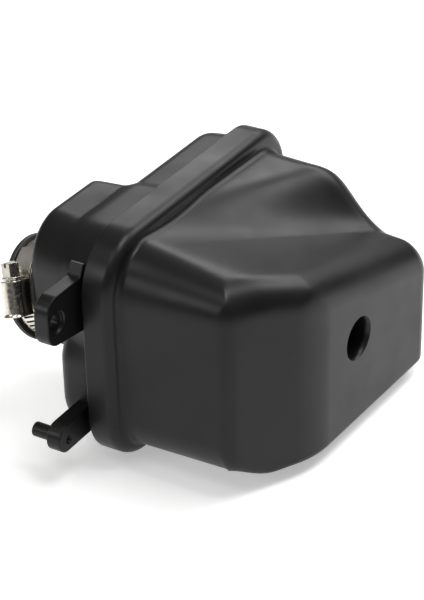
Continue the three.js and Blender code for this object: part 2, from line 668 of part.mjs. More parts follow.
// The pressed bridge over the worm, with a foot on each side.
function clampHousing() {
  const middle = BAND.from + BAND.width / 2;
  const outer = WORM.radius + 0.3 + HOUSING.wall;
  const half = HOUSING.length / 2;
  const centre = -wormAt;
  const floor = -bandOuter - GAP;
  const outline = new THREE.Shape();
  outline.moveTo(middle - HOUSING.foot / 2, floor);
  outline.lineTo(middle + HOUSING.foot / 2, floor);
  outline.lineTo(middle + HOUSING.foot / 2, floor - 0.9);
  outline.lineTo(middle + outer, floor - 1.3);
  outline.lineTo(middle + outer, centre - 0.6);
  outline.absarc(middle, centre - 0.6, outer, 0, -Math.PI, true);
  outline.lineTo(middle - outer, floor - 1.3);
  outline.lineTo(middle - HOUSING.foot / 2, floor - 0.9);
  outline.closePath();
  const settings = { depth: HOUSING.length, bevelEnabled: false, curveSegments: 8 };
  const bridge = new THREE.ExtrudeGeometry(outline, settings);
  const body = solid(bridge.translate(0, 0, -half));
  const stood = (rod) => rod.rotate([0, -90, 0]).translate([middle, centre, 0]);
  const bore = stood(bar(WORM.radius + 0.3, -half - 1, half - 1, 20));
  const neck = stood(bar(WORM.neck + 0.3, 0, half + 2, 16));
  const ring = bar(bandOuter + 0.2, 0, 30, 48);
  return clampTurned(cut(body, bore, neck, ring));
}

// The screw stands along the outlet frame's Z: a worm, a neck and a slotted hexagonal head.
function clampScrew() {
  const half = HOUSING.length / 2;
  const bottom = -half + 0.2;
  const top = half - 1 - 0.3;
  const headAt = half + 0.5;
  const turns = 4;
  const pitch = (top - bottom - 1.6) / turns;
  const profile = [[0, bottom]];
  for (let i = 0; i < turns; i++) {
    const at = bottom + 0.8 + i * pitch;
    profile.push([WORM.radius - 0.9, at - 0.3]);
    profile.push([WORM.radius, at + pitch * 0.3]);
    profile.push([WORM.radius, at + pitch * 0.55]);
  }
  profile.push([WORM.radius - 0.9, top - 0.5]);
  profile.push([WORM.radius - 0.9, top]);
  profile.push([WORM.neck, top]);
  profile.push([WORM.neck, headAt]);
  profile.push([WORM.flat / 2 + 0.9, headAt]);
  profile.push([WORM.flat / 2 + 0.9, headAt + 0.9]);
  profile.push([0, headAt + 0.9]);
  const hex = bar(WORM.flat / Math.sqrt(3), headAt + 0.5, headAt + WORM.head, 6);
  const headTop = headAt + WORM.head;
  const slot = block(headTop - 1.8, headTop + 1, -6, 6, -WORM.slot / 2, WORM.slot / 2);
  const upright = cut(join(turned(profile, 14), hex), slot).rotate([0, -90, 0]);
  return clampTurned(upright.translate([BAND.from + BAND.width / 2, -wormAt, 0]));
}

// ---------------------------------------------------------------- assembly

const outlet = new THREE.Group();
outlet.position.set(OUTLET.x, OUTLET.y, OUTLET.z);
outlet.rotation.y = -THREE.MathUtils.degToRad(OUTLET.tilt);
outlet.add(
  piece("outlet_joint", outletJoint(), RUBBER),
  piece("backfire_screen", backfireScreen(), STEEL),
  piece("clamp_band", clampBand(), STEEL),
  piece("clamp_housing", clampHousing(), STEEL),
  piece("clamp_screw", clampScrew(), STEEL),
);

const housing = new THREE.Group();
housing.name = "air_filter_housing";
housing.add(
  piece("case", caseBody(), BLACK_PLASTIC),
  piece("case_insert", caseInsert(), BRASS),
  piece("support_grid", supportGrid(), GREY_PLASTIC),
  ...SUPPORT_SCREWS.map((at, i) => piece(`support_screw_${i + 1}`, supportScrew(at), STEEL)),
  outlet,
  piece("element_frame", elementFrame(), POLYURETHANE),
  piece("pleated_paper", pleatedPaper(), PAPER),
  piece("prefilter_foam", prefilterFoam(), FOAM_GREY),
  piece("cover", cover(), BLACK_PLASTIC),
  piece("cover_seal", coverSeal(), RUBBER),
  piece("retainer_grid", retainerGrid(), GREY_PLASTIC),
  piece("inlet_snorkel", inletSnorkel(), RUBBER),
  piece("inlet_screen", inletScreen(), STEEL),
  piece("bolt_washer", boltWasher(), STEEL),
  piece("cover_bolt", coverBolt(), STEEL),
  piece("captive_ring", captiveRing(), RUBBER),
);

const bounds = new THREE.Box3().setFromObject(housing, true);
const middle = bounds.getCenter(new THREE.Vector3());
housing.position.set(-middle.x, -middle.y, -bounds.min.z);

export default housing;
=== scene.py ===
import math

import bmesh
import bpy
import numpy as np
from mathutils import Matrix, Vector


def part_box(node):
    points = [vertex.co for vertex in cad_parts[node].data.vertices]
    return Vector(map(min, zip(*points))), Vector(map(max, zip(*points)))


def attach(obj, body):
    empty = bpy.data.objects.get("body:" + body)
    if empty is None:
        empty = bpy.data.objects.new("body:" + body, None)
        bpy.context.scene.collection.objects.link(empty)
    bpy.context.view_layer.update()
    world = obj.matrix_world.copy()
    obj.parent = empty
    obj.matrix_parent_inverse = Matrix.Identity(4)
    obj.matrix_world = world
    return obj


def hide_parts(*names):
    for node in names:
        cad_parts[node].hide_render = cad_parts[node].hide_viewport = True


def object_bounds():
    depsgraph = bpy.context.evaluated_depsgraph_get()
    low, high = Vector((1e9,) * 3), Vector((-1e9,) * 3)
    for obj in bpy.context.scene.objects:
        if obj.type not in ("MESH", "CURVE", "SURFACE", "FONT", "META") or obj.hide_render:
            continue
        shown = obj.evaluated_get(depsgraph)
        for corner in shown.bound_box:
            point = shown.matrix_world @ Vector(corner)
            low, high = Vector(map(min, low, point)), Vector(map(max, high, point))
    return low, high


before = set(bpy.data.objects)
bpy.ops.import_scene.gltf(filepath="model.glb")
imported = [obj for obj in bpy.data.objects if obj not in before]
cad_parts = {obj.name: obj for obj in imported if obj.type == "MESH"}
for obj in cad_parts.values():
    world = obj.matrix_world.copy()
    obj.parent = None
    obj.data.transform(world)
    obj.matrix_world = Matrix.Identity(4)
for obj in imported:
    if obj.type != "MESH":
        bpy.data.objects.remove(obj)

# Air filter housing of a small engine. Shapes are made in millimetres in the design's own frame: the
# cover bolt lies on the X axis and the cover's open edge is the plane x = 0. Each finished piece is then
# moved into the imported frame, where the rim plane and the bolt's axis are read from the CAD nodes.
cad_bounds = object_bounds()
bolt_low, bolt_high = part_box("cover_bolt")
RIM_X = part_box("cover")[0].x
AXIS_Y = (bolt_low.y + bolt_high.y) / 2
AXIS_Z = (bolt_low.z + bolt_high.z) / 2
MM = 0.001

# ---------------------------------------------------------------- driving dimensions

WALL = 2.5
GAP = 0.3
SKIRT = {"left": -72, "right": 66, "bottom": -45, "top": 55, "corner": 23.5}
SKIRT_DEPTH = 13
SKIRT_FRONT = 4.5
SKIRT_WALL = 2.6
RIM_EDGE = 0.5

COVER_END = 81
END_SLOPE = 0.055
COVER_LEFT, COVER_RIGHT, COVER_BOTTOM = -67, 61, -39.5
COVER_DRAFT = 0.025
GROOVE = 2.2
BEVEL_Y = -27.5
BEVEL_ANGLE = math.radians(61)
FAN = {"x": 22, "y": -47, "z": 49.5}
STEP = {
    "y": 50, "z": 46, "slope": -0.11, "foot": 64.5, "wide": 31, "drop": 21.2, "bend": 0.32, "crease": 0.15,
}
COVER_MIDDLE = (46, -10)

CASE_REAR, CASE_EDGE, CASE_DRAFT = -18.4, 6, 0.05
CASE = {"left": -66.5, "right": 60, "bottom": -39.5, "top": 51, "corner": 19}
HUMP_REAR, HUMP_EDGE, HUMP_JOIN = -35, 4, 3
HUMP = {"left": -66, "right": -6, "bottom": -4, "top": 50, "corner": 19, "inner": 7}
CASE_MIDDLE = (-38, 16)
TONGUE_INSET, TONGUE_WALL, TONGUE_TO = 3, 2.5, 8.2
LEDGE = 2.5

WELL_RADIUS, WELL_WALL, WELL_FLOOR, WELL_FLOOR_WALL, WELL_LIP = 8.6, 2.6, 32, 3, 0.8
BOLT_RADIUS, BOLT_TIP, BOLT_HEAD, BOLT_FLAT, BOLT_FLANGE, BOLT_CLEARANCE = 2.97, -6, 5.6, 10, 6.6, 3.5
BOLT_PITCH = 1.0
WASHER, WASHER_AT = 1.2, WELL_FLOOR + 0.2
POST_RADIUS, POST_TOP = 7, 6.8
INSERT_RADIUS, INSERT_FROM = 4.4, -5

ELEMENT_INSET, ELEMENT_RIM, ELEMENT_TO, PLEAT_FROM = 5.9, 5.4, 10.2, -3.6
PLEAT_PITCH, PAPER = 3.0, 0.6
FOAM_FROM, FOAM_TO, FOAM_FIT = 10.6, 22.4, 1.3
SUPPORT_AT, GRID_THICK = -8.2, 2
SUPPORT_SCREWS = ((-46, -19), (42, 29))
SCREW_RADIUS = 1.4

EAR_FRONT, EAR_THICK, EAR_ROOT, EAR_EDGE = -2.7, 6.3, -64.4, 0.5
UPPER_EAR = (
    (EAR_ROOT, 15, 0), (EAR_ROOT, 43.2, 0), (-65.2, 43.2, 0), (-67.6, 38.7, 1.5), (-90.5, 38.8, 7),
    (-90.5, 18.6, 7),
)
LOWER_EAR = ((EAR_ROOT, -31.6, 0), (EAR_ROOT, -19.4, 0), (-88.4, -19.4, 6.05), (-88.4, -31.6, 6.05))
EAR_HOLE = (-84.4, 27.5)
EAR_HOLE_RADIUS, EAR_RECESS, EAR_RECESS_DEPTH = 3.2, 4.6, 1.4
PIN_AT = (-81.95, -26.5)
PIN_RADIUS, PIN_LENGTH = 3, 9.6

OUTLET = (-49, -31.9, 4.1)
OUTLET_TILT = math.radians(16.3)
JOINT_BORE, JOINT_SEAT, JOINT_LIP, LIP_WIDTH = 16.4, 19.3, 22, 2.4
JOINT_COLLAR, JOINT_NECK, JOINT_INNER = 22.8, 19.7, 21.6
COLLAR_FROM, COLLAR_WIDTH = LIP_WIDTH + 11.4, 2.6
BOSS_RADIUS, BOSS_FROM, BOSS_WALL, BOSS_REACH = 24.6, COLLAR_FROM + COLLAR_WIDTH + GAP, 3, 20

BAND_WIDTH, BAND_THICK, BAND_FROM, SLOT_PITCH, SLOT_WIDE = 9, 0.7, LIP_WIDTH + 0.5, 2.4, 5.4
BAND_INNER = JOINT_SEAT + GAP
BAND_OUTER = BAND_INNER + BAND_THICK
BAND_MIDDLE = BAND_FROM + BAND_WIDTH / 2
WORM_RADIUS, WORM_NECK, WORM_FLAT, WORM_HEAD, WORM_SLOT = 3.5, 2.4, 7, 6.6, 1.1
WORM_AT = BAND_OUTER + 0.9 + WORM_RADIUS
BRIDGE_WALL, BRIDGE_LENGTH, BRIDGE_FOOT = 0.9, 14.6, 9.6
CLAMP_TURN = math.radians(15)

INLET_X, INLET_Z, INLET_RADIUS, INLET_WALL, INLET_FLANGE, INLET_DEPTH = 50, -8, 11, 1.8, 14.5, 15

FINE = 96  # sides of a round piece
AROUND = 440  # points round each ring of a moulded shell

# ---------------------------------------------------------------- distances
# They are negative inside. Arguments are numpy arrays or numbers.


def rounded(a, b, r):
    """A rounded edge where two faces meet."""
    return np.minimum(-r, np.maximum(a, b)) + np.hypot(np.maximum(a + r, 0), np.maximum(b + r, 0))


def filleted(a, b, r):
    """A hollow fillet where two bodies join."""
    return np.maximum(r, np.minimum(a, b)) - np.hypot(np.maximum(r - a, 0), np.maximum(r - b, 0))


def eased(x, x0, v0, x1, v1):
    """A value that eases from v0 at x0 to v1 at x1."""
    t = np.clip((x - x0) / (x1 - x0), 0, 1)
    return v0 + (v1 - v0) * t * t * (3 - 2 * t)


def rectangle(y, z, left, right, bottom, top, corner, inner=None):
    """A rectangle with rounded corners; the corners on the +Y side may have their own radius."""
    radius = np.where(2 * y > left + right, corner if inner is None else inner, corner)
    return rounded(np.maximum(left - y, y - right), np.maximum(bottom - z, z - top), radius)


def cover_top(x, y):
    """The height of the cover's top: the step starts from nothing by the -Y side and ends in a crease."""
    across = y - FAN["y"]
    share = (across + np.hypot(across, 5)) / 2 / (STEP["y"] - FAN["y"])
    crease_at = FAN["x"] + (STEP["foot"] - FAN["x"]) * share
    t = np.clip((x - crease_at) / STEP["wide"] + 1, 0, 1)
    fall = (1 - STEP["bend"]) * t**3 * (10 - 15 * t + 6 * t * t) + STEP["bend"] * t * t
    rest = STEP["drop"] * (1 - fall)
    drop = (STEP["drop"] + STEP["crease"]) * fall + rest - np.hypot(rest, STEP["crease"])
    crown = FAN["z"] - STEP["z"]
    return FAN["z"] + STEP["slope"] * (x - FAN["x"]) - (crown + drop) * share


def cover_wall(x, y, z):
    """The cover's outer wall without its skirt."""
    left = COVER_LEFT + COVER_DRAFT * (x - SKIRT_DEPTH) - y
    oblique = math.sin(BEVEL_ANGLE) * (x - COVER_END) - math.cos(BEVEL_ANGLE) * (y - BEVEL_Y)
    end = (x - COVER_END - END_SLOPE * y) / math.hypot(1, END_SLOPE)
    plan = rounded(rounded(left, oblique, 4), rounded(y - COVER_RIGHT, end, 10), 4)
    step = 0.05
    slope_x = (cover_top(x + step, y) - cover_top(x - step, y)) / (2 * step)
    slope_y = (cover_top(x, y + step) - cover_top(x, y - step)) / (2 * step)
    top = (z - cover_top(x, y)) / np.sqrt(1 + slope_x**2 + slope_y**2)
    top_edge = eased(x, 14, 20, 66, 13)
    bottom_edge = eased(x, 54, eased(y, -20, 19, 20, 6), 70, 2.5)
    return rounded(rounded(plan, COVER_BOTTOM - z, bottom_edge), top, top_edge)


def cover_outside(x, y, z):
    """The cover with its skirt, and a small round on the skirt's edge."""
    skirt = rounded(rectangle(y, z, **SKIRT), x - SKIRT_DEPTH, SKIRT_FRONT)
    return rounded(filleted(skirt, cover_wall(x, y, z), GROOVE), -x, RIM_EDGE)


def case_outside(x, y, z):
    """A shallow tray with a deeper hump at its upper -Y corner."""
    lean = -CASE_DRAFT * x
    beside_hump = eased(z, -4, 0, 12, 1)
    left = CASE["left"] + lean + beside_hump * (4 * lean + 2.5)
    tray = rectangle(
        y, z, left, CASE["right"] - lean, CASE["bottom"] + lean / 2, CASE["top"] - 2 * lean, CASE["corner"],
    )
    hump = rectangle(
        y, z, HUMP["left"] + 5 * lean, HUMP["right"] - lean, HUMP["bottom"] + 2 * lean,
        HUMP["top"] - lean, HUMP["corner"], HUMP["inner"],
    )
    return filleted(
        rounded(tray, CASE_REAR - x, CASE_EDGE), rounded(hump, HUMP_REAR - x, HUMP_EDGE), HUMP_JOIN
    )


def inset_skirt(inset):
    """The skirt's outline moved inwards, the same at every x."""
    return lambda x, y, z: rectangle(y, z, **SKIRT) + inset


# ---------------------------------------------------------------- meshes
# A shape is a pair: an array of points, and a list of faces.


def skinned(rings, looped=False):
    """A closed surface through rings of points. Each end ring is one face, or the rings make a loop."""
    rings = np.asarray(rings, float)
    count, around = rings.shape[:2]
    here = np.arange(around)
    on = (here + 1) % around
    faces = []
    for a in range(count if looped else count - 1):
        b = (a + 1) % count
        strip = (a * around + here, a * around + on, b * around + on, b * around + here)
        faces += np.stack(strip, axis=1).tolist()
    if not looped:
        faces.append(here[::-1].tolist())
        faces.append(((count - 1) * around + here).tolist())
    return rings.reshape(-1, 3), faces


def gathered(*shapes):
    """Several shapes as one, side by side."""
    points, faces, offset = [], [], 0
    for p, f in shapes:
        points.append(p)
        faces += [[i + offset for i in face] for face in f]
        offset += len(p)
    return np.concatenate(points), faces


def moved(shape, change):
    """A shape with its points changed by a function of x, y, z arrays."""
    points, faces = shape
    return np.stack(change(*points.T), axis=1), faces


def softened(profile, radius, steps=4):
    """A profile with its corners rounded. A closed profile repeats its first point at its end."""
    closed = np.allclose(profile[0], profile[-1])
    points = [np.array(p, float) for p in (profile[:-1] if closed else profile)]
    made = []
    for i, here in enumerate(points):
        if not closed and i in (0, len(points) - 1):
            made.append(here)
            continue
        back, on = points[i - 1] - here, points[(i + 1) % len(points)] - here
        lengths = np.linalg.norm(back), np.linalg.norm(on)
        reach = min(radius, 0.45 * min(lengths))
        start, end = here + back / lengths[0] * reach, here + on / lengths[1] * reach
        for t in np.linspace(0, 1, steps + 1):
            made.append((1 - t) ** 2 * start + 2 * t * (1 - t) * here + t**2 * end)
    return made + [made[0]] if closed else made


def turned(profile, sides=FINE, y=0.0, z=0.0):
    """A solid of revolution about the line through (y, z) along X. Each profile point is (radius, x)."""
    looped = np.allclose(profile[0], profile[-1])
    points = profile[:-1] if looped else [p for p in profile if p[0] > 0]
    angle = np.linspace(0, 2 * math.pi, sides, endpoint=False)
    rings = [
        np.stack([np.full(sides, x), y + r * np.cos(angle), z + r * np.sin(angle)], axis=1)
        for r, x in points
    ]
    return skinned(rings, looped)


def bar(radius, x0, x1, y=0.0, z=0.0, sides=FINE, edge=0.0):
    """A round bar along X."""
    profile = [(0, x0), (radius, x0), (radius, x1), (0, x1)]
    return turned(softened(profile, edge) if edge else profile, sides, y, z)


def tube(outer, inner, x0, x1, y=0.0, z=0.0, edge=0.2):
    """A round tube along X with softened edges."""
    profile = [(inner, x0), (outer, x0), (outer, x1), (inner, x1), (inner, x0)]
    return turned(softened(profile, edge), FINE, y, z)


def block(x0, x1, y0, y1, z0, z1):
    """A box between two corners."""
    rings = [[(x, y0, z0), (x, y1, z0), (x, y1, z1), (x, y0, z1)] for x in (x0, x1)]
    return skinned(rings)


def outline(corners, inset=0.0, steps=8):
    """A polygon in Y and Z with rounded corners, moved inwards. Each corner is (y, z, radius)."""
    made = []
    for i, (y, z, radius) in enumerate(corners):
        here = np.array([y, z], float)
        back = np.array(corners[i - 1][:2]) - here
        on = np.array(corners[(i + 1) % len(corners)][:2]) - here
        back, on = back / np.linalg.norm(back), on / np.linalg.norm(on)
        half = math.acos(float(np.clip(back @ on, -1, 1))) / 2
        middle = (back + on) / np.linalg.norm(back + on)
        hollow = back[0] * on[1] - back[1] * on[0] > 0
        move = -inset if hollow else inset
        corner = here + middle * move / math.sin(half)
        if radius <= 0:
            made.append(corner)
            continue
        r = max(radius - move, 0.0)
        centre = corner + middle * r / math.sin(half)
        start = corner + back * r / math.tan(half) - centre
        end = corner + on * r / math.tan(half) - centre
        from_angle = math.atan2(start[1], start[0])
        swing = math.remainder(math.atan2(end[1], end[0]) - from_angle, 2 * math.pi)
        for t in np.linspace(0, 1, steps + 1):
            a = from_angle + swing * t
            made.append(centre + r * np.array([math.cos(a), math.sin(a)]))
    return np.array(made)


def at_station(x, ring):
    """A ring of (y, z) points as points in the plane at x."""
    return np.column_stack([np.full(len(ring), x), ring])


def slab(corners, x0, x1, edge, steps=8):
    """An outline carried from x0 to x1 with rounded edges."""
    turns = np.linspace(0, math.pi / 2, 4)
    levels = [(x0 + edge * (1 - math.sin(t)), edge * (1 - math.cos(t))) for t in turns[::-1]]
    levels += [(x1 - edge * (1 - math.sin(t)), edge * (1 - math.cos(t))) for t in turns]
    return skinned([at_station(x, outline(corners, inset, steps)) for x, inset in levels])


def skirt_corners(inset, corner=None):
    """The skirt's outline moved inwards, as corners for slab."""
    radius = max(SKIRT["corner"] - inset, 4) if corner is None else corner
    y0, y1 = SKIRT["left"] + inset, SKIRT["right"] - inset
    z0, z1 = SKIRT["bottom"] + inset, SKIRT["top"] - inset
    return ((y0, z0, radius), (y1, z0, radius), (y1, z1, radius), (y0, z1, radius))


def swept(path, radius, sides=8):
    """A round bar along a path, in its own two cross directions."""
    path = np.asarray(path, float)
    ahead = np.gradient(path, axis=0)
    ahead /= np.linalg.norm(ahead, axis=1)[:, None]
    side = np.cross(ahead, (1.0, 0, 0))
    side /= np.linalg.norm(side, axis=1)[:, None]
    over = np.cross(side, ahead)
    angle = np.linspace(0, 2 * math.pi, sides, endpoint=False)
    circle = side[:, None] * np.cos(angle)[:, None] + over[:, None] * np.sin(angle)[:, None]
    return skinned(path[:, None] + radius * circle)


def threaded(radius, depth, pitch, x0, x1, sides=72):
    """A round bar along X with a screw thread cut in it, which runs out at both ends."""
    angle = np.linspace(0, 2 * math.pi, sides, endpoint=False)
    rings = []
    for x in np.arange(x0, x1 + 1e-6, pitch / 10):
        phase = np.mod((x - x0) / pitch - angle / (2 * math.pi), 1)
        valley = np.clip(1.35 - np.abs(phase - 0.5) * 4, 0, 1)
        fade = np.clip(min(x - x0, x1 - x) / (0.6 * pitch), 0, 1)
        r = radius - depth * (valley * fade + (1 - fade) * 0.6)
        rings.append(np.stack([np.full(sides, x), r * np.cos(angle), r * np.sin(angle)], axis=1))
    return skinned(rings)


# ---------------------------------------------------------------- moulded shells


def directions_round(centre):
    """Directions in Y and Z from a centre to points spread evenly along the skirt's outline."""
    corners = outline(skirt_corners(0), steps=40)
    closed = np.vstack([corners, corners[:1]])
    run = np.concatenate([[0], np.cumsum(np.linalg.norm(np.diff(closed, axis=0), axis=1))])
    at = np.linspace(0, run[-1], AROUND, endpoint=False)
    points = np.column_stack([np.interp(at, run, closed[:, k]) for k in (0, 1)]) - centre
    return points / np.linalg.norm(points, axis=1)[:, None]


def last_inside(near, far, is_outside, halvings):
    """The last values that are still inside, on the way from near values to far ones."""
    for _ in range(halvings):
        middle = (near + far) / 2
        outside = is_outside(middle)
        far = np.where(outside, middle, far)
        near = np.where(outside, near, middle)
    return near


def ring_at(distance, level, station, centre, tilt=0.0):
    """The ring of points where a distance has a level, in the plane x = station + tilt * y."""
    directions = directions_round(centre)

    def point_at(reach):
        y, z = centre[0] + reach * directions[:, 0], centre[1] + reach * directions[:, 1]
        return station + tilt * y, y, z

    reach = last_inside(
        np.zeros(AROUND), np.full(AROUND, 160.0), lambda r: distance(*point_at(r)) > level, 34,
    )
    return np.stack(point_at(reach), axis=1)


def end_rings(distance, level, ring, centre, towards):
    """Rings that close a shell's end: they shrink to its middle and lie on the surface."""
    rings = []
    for share in (0.985, 0.965, 0.94, 0.9, 0.84, 0.74, 0.6, 0.42, 0.2, 0.04):
        y = centre[0] + (ring[:, 1] - centre[0]) * share
        z = centre[1] + (ring[:, 2] - centre[1]) * share
        x = last_inside(
            ring[:, 0] - towards * 3, ring[:, 0] + towards * 12,
            lambda at, y=y, z=z: distance(at, y, z) > level, 30,
        )
        rings.append(np.stack([x, y, z], axis=1))
    return rings


def spaced(*runs):
    """Stations along X: each run is (from, to, step), and the last run's end is kept."""
    made = [np.arange(a, b - 1e-6, step) for a, b, step in runs]
    return np.concatenate([*made, [runs[-1][1]]])


def cover_tilt(station):
    """The rings lean over gradually until they lie along the cover's sloping end face."""
    return float(eased(station, 40, 0, 70, END_SLOPE))


def cover_body():
    """The cover's outer and inner skins, joined at the open edge, as one closed body."""
    outer = [
        ring_at(cover_outside, 0, x, COVER_MIDDLE, cover_tilt(x))
        for x in spaced(
            (0, RIM_EDGE, 0.1), (RIM_EDGE, 8.5, 2), (8.5, 12, 0.35), (12, 13.8, 0.07), (13.8, 16, 0.3),
            (16, 70, 0.9), (70, 78, 0.5), (78, 80.4, 0.2), (80.4, COVER_END - 0.02, 0.05),
        )
    ]
    inner_end = COVER_END - WALL * math.hypot(1, END_SLOPE)
    inner = [
        ring_at(cover_wall, -WALL, x, COVER_MIDDLE, cover_tilt(x))
        for x in spaced(
            (SKIRT_DEPTH - WALL, 66, 2.2), (66, 76, 0.8), (76, inner_end - 0.3, 0.25),
            (inner_end - 0.3, inner_end - 0.02, 0.07),
        )
    ]
    pocket = [
        ring_at(inset_skirt(SKIRT_WALL), 0, x, COVER_MIDDLE) for x in (SKIRT_DEPTH - WALL, 0.0)
    ]
    inner_cap = end_rings(cover_wall, -WALL, inner[-1], COVER_MIDDLE, 1)
    outer_cap = end_rings(cover_outside, 0, outer[-1], COVER_MIDDLE, 1)
    return skinned([*inner_cap[::-1], *inner[::-1], *pocket, *outer, *outer_cap])


def case_skin(level, rear, front):
    """The case's wall at a level as a closed body, from its rear end to a station."""
    tray = CASE_REAR - level
    stations = spaced(
        (rear + 0.02, rear + 0.5, 0.07), (rear + 0.5, rear + 3, 0.3), (rear + 3, tray - 7, 0.9),
        (tray - 7, tray - 0.3, 0.35), (tray - 0.3, tray + 0.5, 0.06), (tray + 0.5, tray + 4, 0.3),
        (tray + 4, front, 1.2),
    )
    rings = [ring_at(case_outside, level, x, CASE_MIDDLE) for x in stations]
    return skinned([*end_rings(case_outside, level, rings[0], CASE_MIDDLE, -1)[::-1], *rings])


def cover_slab(gap, x0, x1, edge):
    """A pad that fills the cover between two planes, with a gap all round and rounded edges."""
    middle, half = (x0 + x1) / 2, (x1 - x0) / 2

    def distance(x, y, z):
        return rounded(cover_wall(x, y, z) + WALL + gap, np.abs(x - middle) - half, edge)

    stations = spaced(
        (x0 + 0.01, x0 + 0.3, 0.07), (x0 + 0.3, x0 + edge, 0.3), (x0 + edge, x1 - edge, 0.6),
        (x1 - edge, x1 - 0.3, 0.3), (x1 - 0.3, x1 - 0.01, 0.07),
    )
    return skinned([ring_at(distance, 0, x, COVER_MIDDLE) for x in stations])


# ---------------------------------------------------------------- Blender objects


def linked(thing):
    """Puts an object in the scene."""
    bpy.context.scene.collection.objects.link(thing)
    return thing


def made_object(shape):
    """A mesh object of a shape, with its faces turned outwards."""
    points, faces = shape
    mesh = bpy.data.meshes.new("shape")
    mesh.from_pydata(points.tolist(), [], faces)
    work = bmesh.new()
    work.from_mesh(mesh)
    bmesh.ops.recalc_face_normals(work, faces=work.faces)
    work.to_mesh(mesh)
    work.free()
    return linked(bpy.data.objects.new("shape", mesh))


def combined(body, operation, others):
    """An object joined with, cut by or kept inside the given shapes, one after another."""
    for shape in others:
        other = shape if isinstance(shape, bpy.types.Object) else made_object(shape)
        change = body.modifiers.new(operation, "BOOLEAN")
        change.operation = operation
        change.solver = "MANIFOLD"
        change.object = other
        graph = bpy.context.evaluated_depsgraph_get()
        mesh = bpy.data.meshes.new_from_object(body.evaluated_get(graph))
        body.modifiers.clear()
        body.data = mesh
        bpy.data.objects.remove(other)
    return body


def joined(body, *others):
    return combined(body, "UNION", others)


def cut(body, *others):
    return combined(body, "DIFFERENCE", others)


def kept_inside(body, *others):
    return combined(body, "INTERSECT", others)


def finished(name, shape, body, slot, *nodes, sharp=35):
    """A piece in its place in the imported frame, smooth except at sharp edges, on its body."""
    piece = shape if isinstance(shape, bpy.types.Object) else made_object(shape)
    piece.name = name
    piece.data.name = name
    place = Matrix.Translation((RIM_X, AXIS_Y, AXIS_Z)) @ Matrix.Scale(MM, 4)
    piece.data.transform(place)
    piece.data.shade_smooth()
    piece.data.set_sharp_from_angle(angle=math.radians(sharp))
    piece.data.materials.clear()
    piece.data.materials.append(LOOKS[slot])
    even = piece.modifiers.new("even_normals", "WEIGHTED_NORMAL")
    even.keep_sharp = True
    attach(piece, body)
    if nodes:
        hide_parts(*nodes)
    return piece


# ---------------------------------------------------------------- places of tilted pieces


def clamp_turned(x, y, z):
    """Turned up round the outlet's axis, to where the clamp sits."""
    c, s = math.cos(CLAMP_TURN), math.sin(CLAMP_TURN)
    return x, y * c + z * s, z * c - y * s


def at_outlet(x, y, z):
    """From the outlet's own frame, with its free end at x = 0, to its place on the case."""
    c, s = math.cos(OUTLET_TILT), math.sin(OUTLET_TILT)
    return x * c - z * s + OUTLET[0], y + OUTLET[1], x * s + z * c + OUTLET[2]


def on_outlet(shape):
    return moved(shape, at_outlet)


def on_clamp(shape):
    return moved(moved(shape, clamp_turned), at_outlet)


def on_worm(shape):
    """From lying along X to standing on the worm's axis, in the clamp's own frame."""
    return moved(shape, lambda x, y, z: (BAND_MIDDLE - z, y - WORM_AT, x))


def sideways(shape, x0, y0, z0):
    """From lying along X to lying along Y, from a point."""
    return moved(shape, lambda x, y, z: (x0 - y, y0 + x, z0 + z))


# ---------------------------------------------------------------- materials


def new_look(name, color, metallic=0.0, roughness=0.5):
    """A material, its node tree, its shader, and the object coordinates for its texture nodes."""
    look = bpy.data.materials.new(name)
    look.use_nodes = True
    tree = look.node_tree
    shader = tree.nodes["Principled BSDF"]
    shader.inputs["Base Color"].default_value = (*color, 1)
    shader.inputs["Metallic"].default_value = metallic
    shader.inputs["Roughness"].default_value = roughness
    place = tree.nodes.new("ShaderNodeTexCoord").outputs["Object"]
    return look, tree, shader, place


def noise(tree, place, scale, detail=3.0, stretch=None):
    """A noise whose scale is in cells per metre, stretched along the axes if asked."""
    if stretch:
        mapping = tree.nodes.new("ShaderNodeMapping")
        mapping.inputs["Scale"].default_value = stretch
        tree.links.new(place, mapping.inputs["Vector"])
        place = mapping.outputs["Vector"]
    texture = tree.nodes.new("ShaderNodeTexNoise")
    texture.inputs["Scale"].default_value = scale
    texture.inputs["Detail"].default_value = detail
    tree.links.new(place, texture.inputs["Vector"])
    return texture.outputs["Fac"]


def spread(tree, value, low, high, start=0.3, end=0.7):
    """A value between two limits."""
    node = tree.nodes.new("ShaderNodeMapRange")
    node.inputs["From Min"].default_value = start
    node.inputs["From Max"].default_value = end
    node.inputs["To Min"].default_value = low
    node.inputs["To Max"].default_value = high
    tree.links.new(value, node.inputs["Value"])
    return node.outputs["Result"]


def shaded(tree, value, dark, light, start=0.3, end=0.7):
    """A colour between two colours."""
    ramp = tree.nodes.new("ShaderNodeValToRGB")
    ramp.color_ramp.elements[0].position = start
    ramp.color_ramp.elements[1].position = end
    ramp.color_ramp.elements[0].color = (*dark, 1)
    ramp.color_ramp.elements[1].color = (*light, 1)
    tree.links.new(value, ramp.inputs["Fac"])
    return ramp.outputs["Color"]


def raised(tree, shader, *layers):
    """Relief in the surface from several heights: each is (value, strength, depth in mm)."""
    normal = None
    for value, strength, depth in layers:
        bump = tree.nodes.new("ShaderNodeBump")
        bump.inputs["Strength"].default_value = strength
        bump.inputs["Distance"].default_value = depth * MM
        tree.links.new(value, bump.inputs["Height"])
        if normal is not None:
            tree.links.new(normal, bump.inputs["Normal"])
        normal = bump.outputs["Normal"]
    tree.links.new(normal, shader.inputs["Normal"])


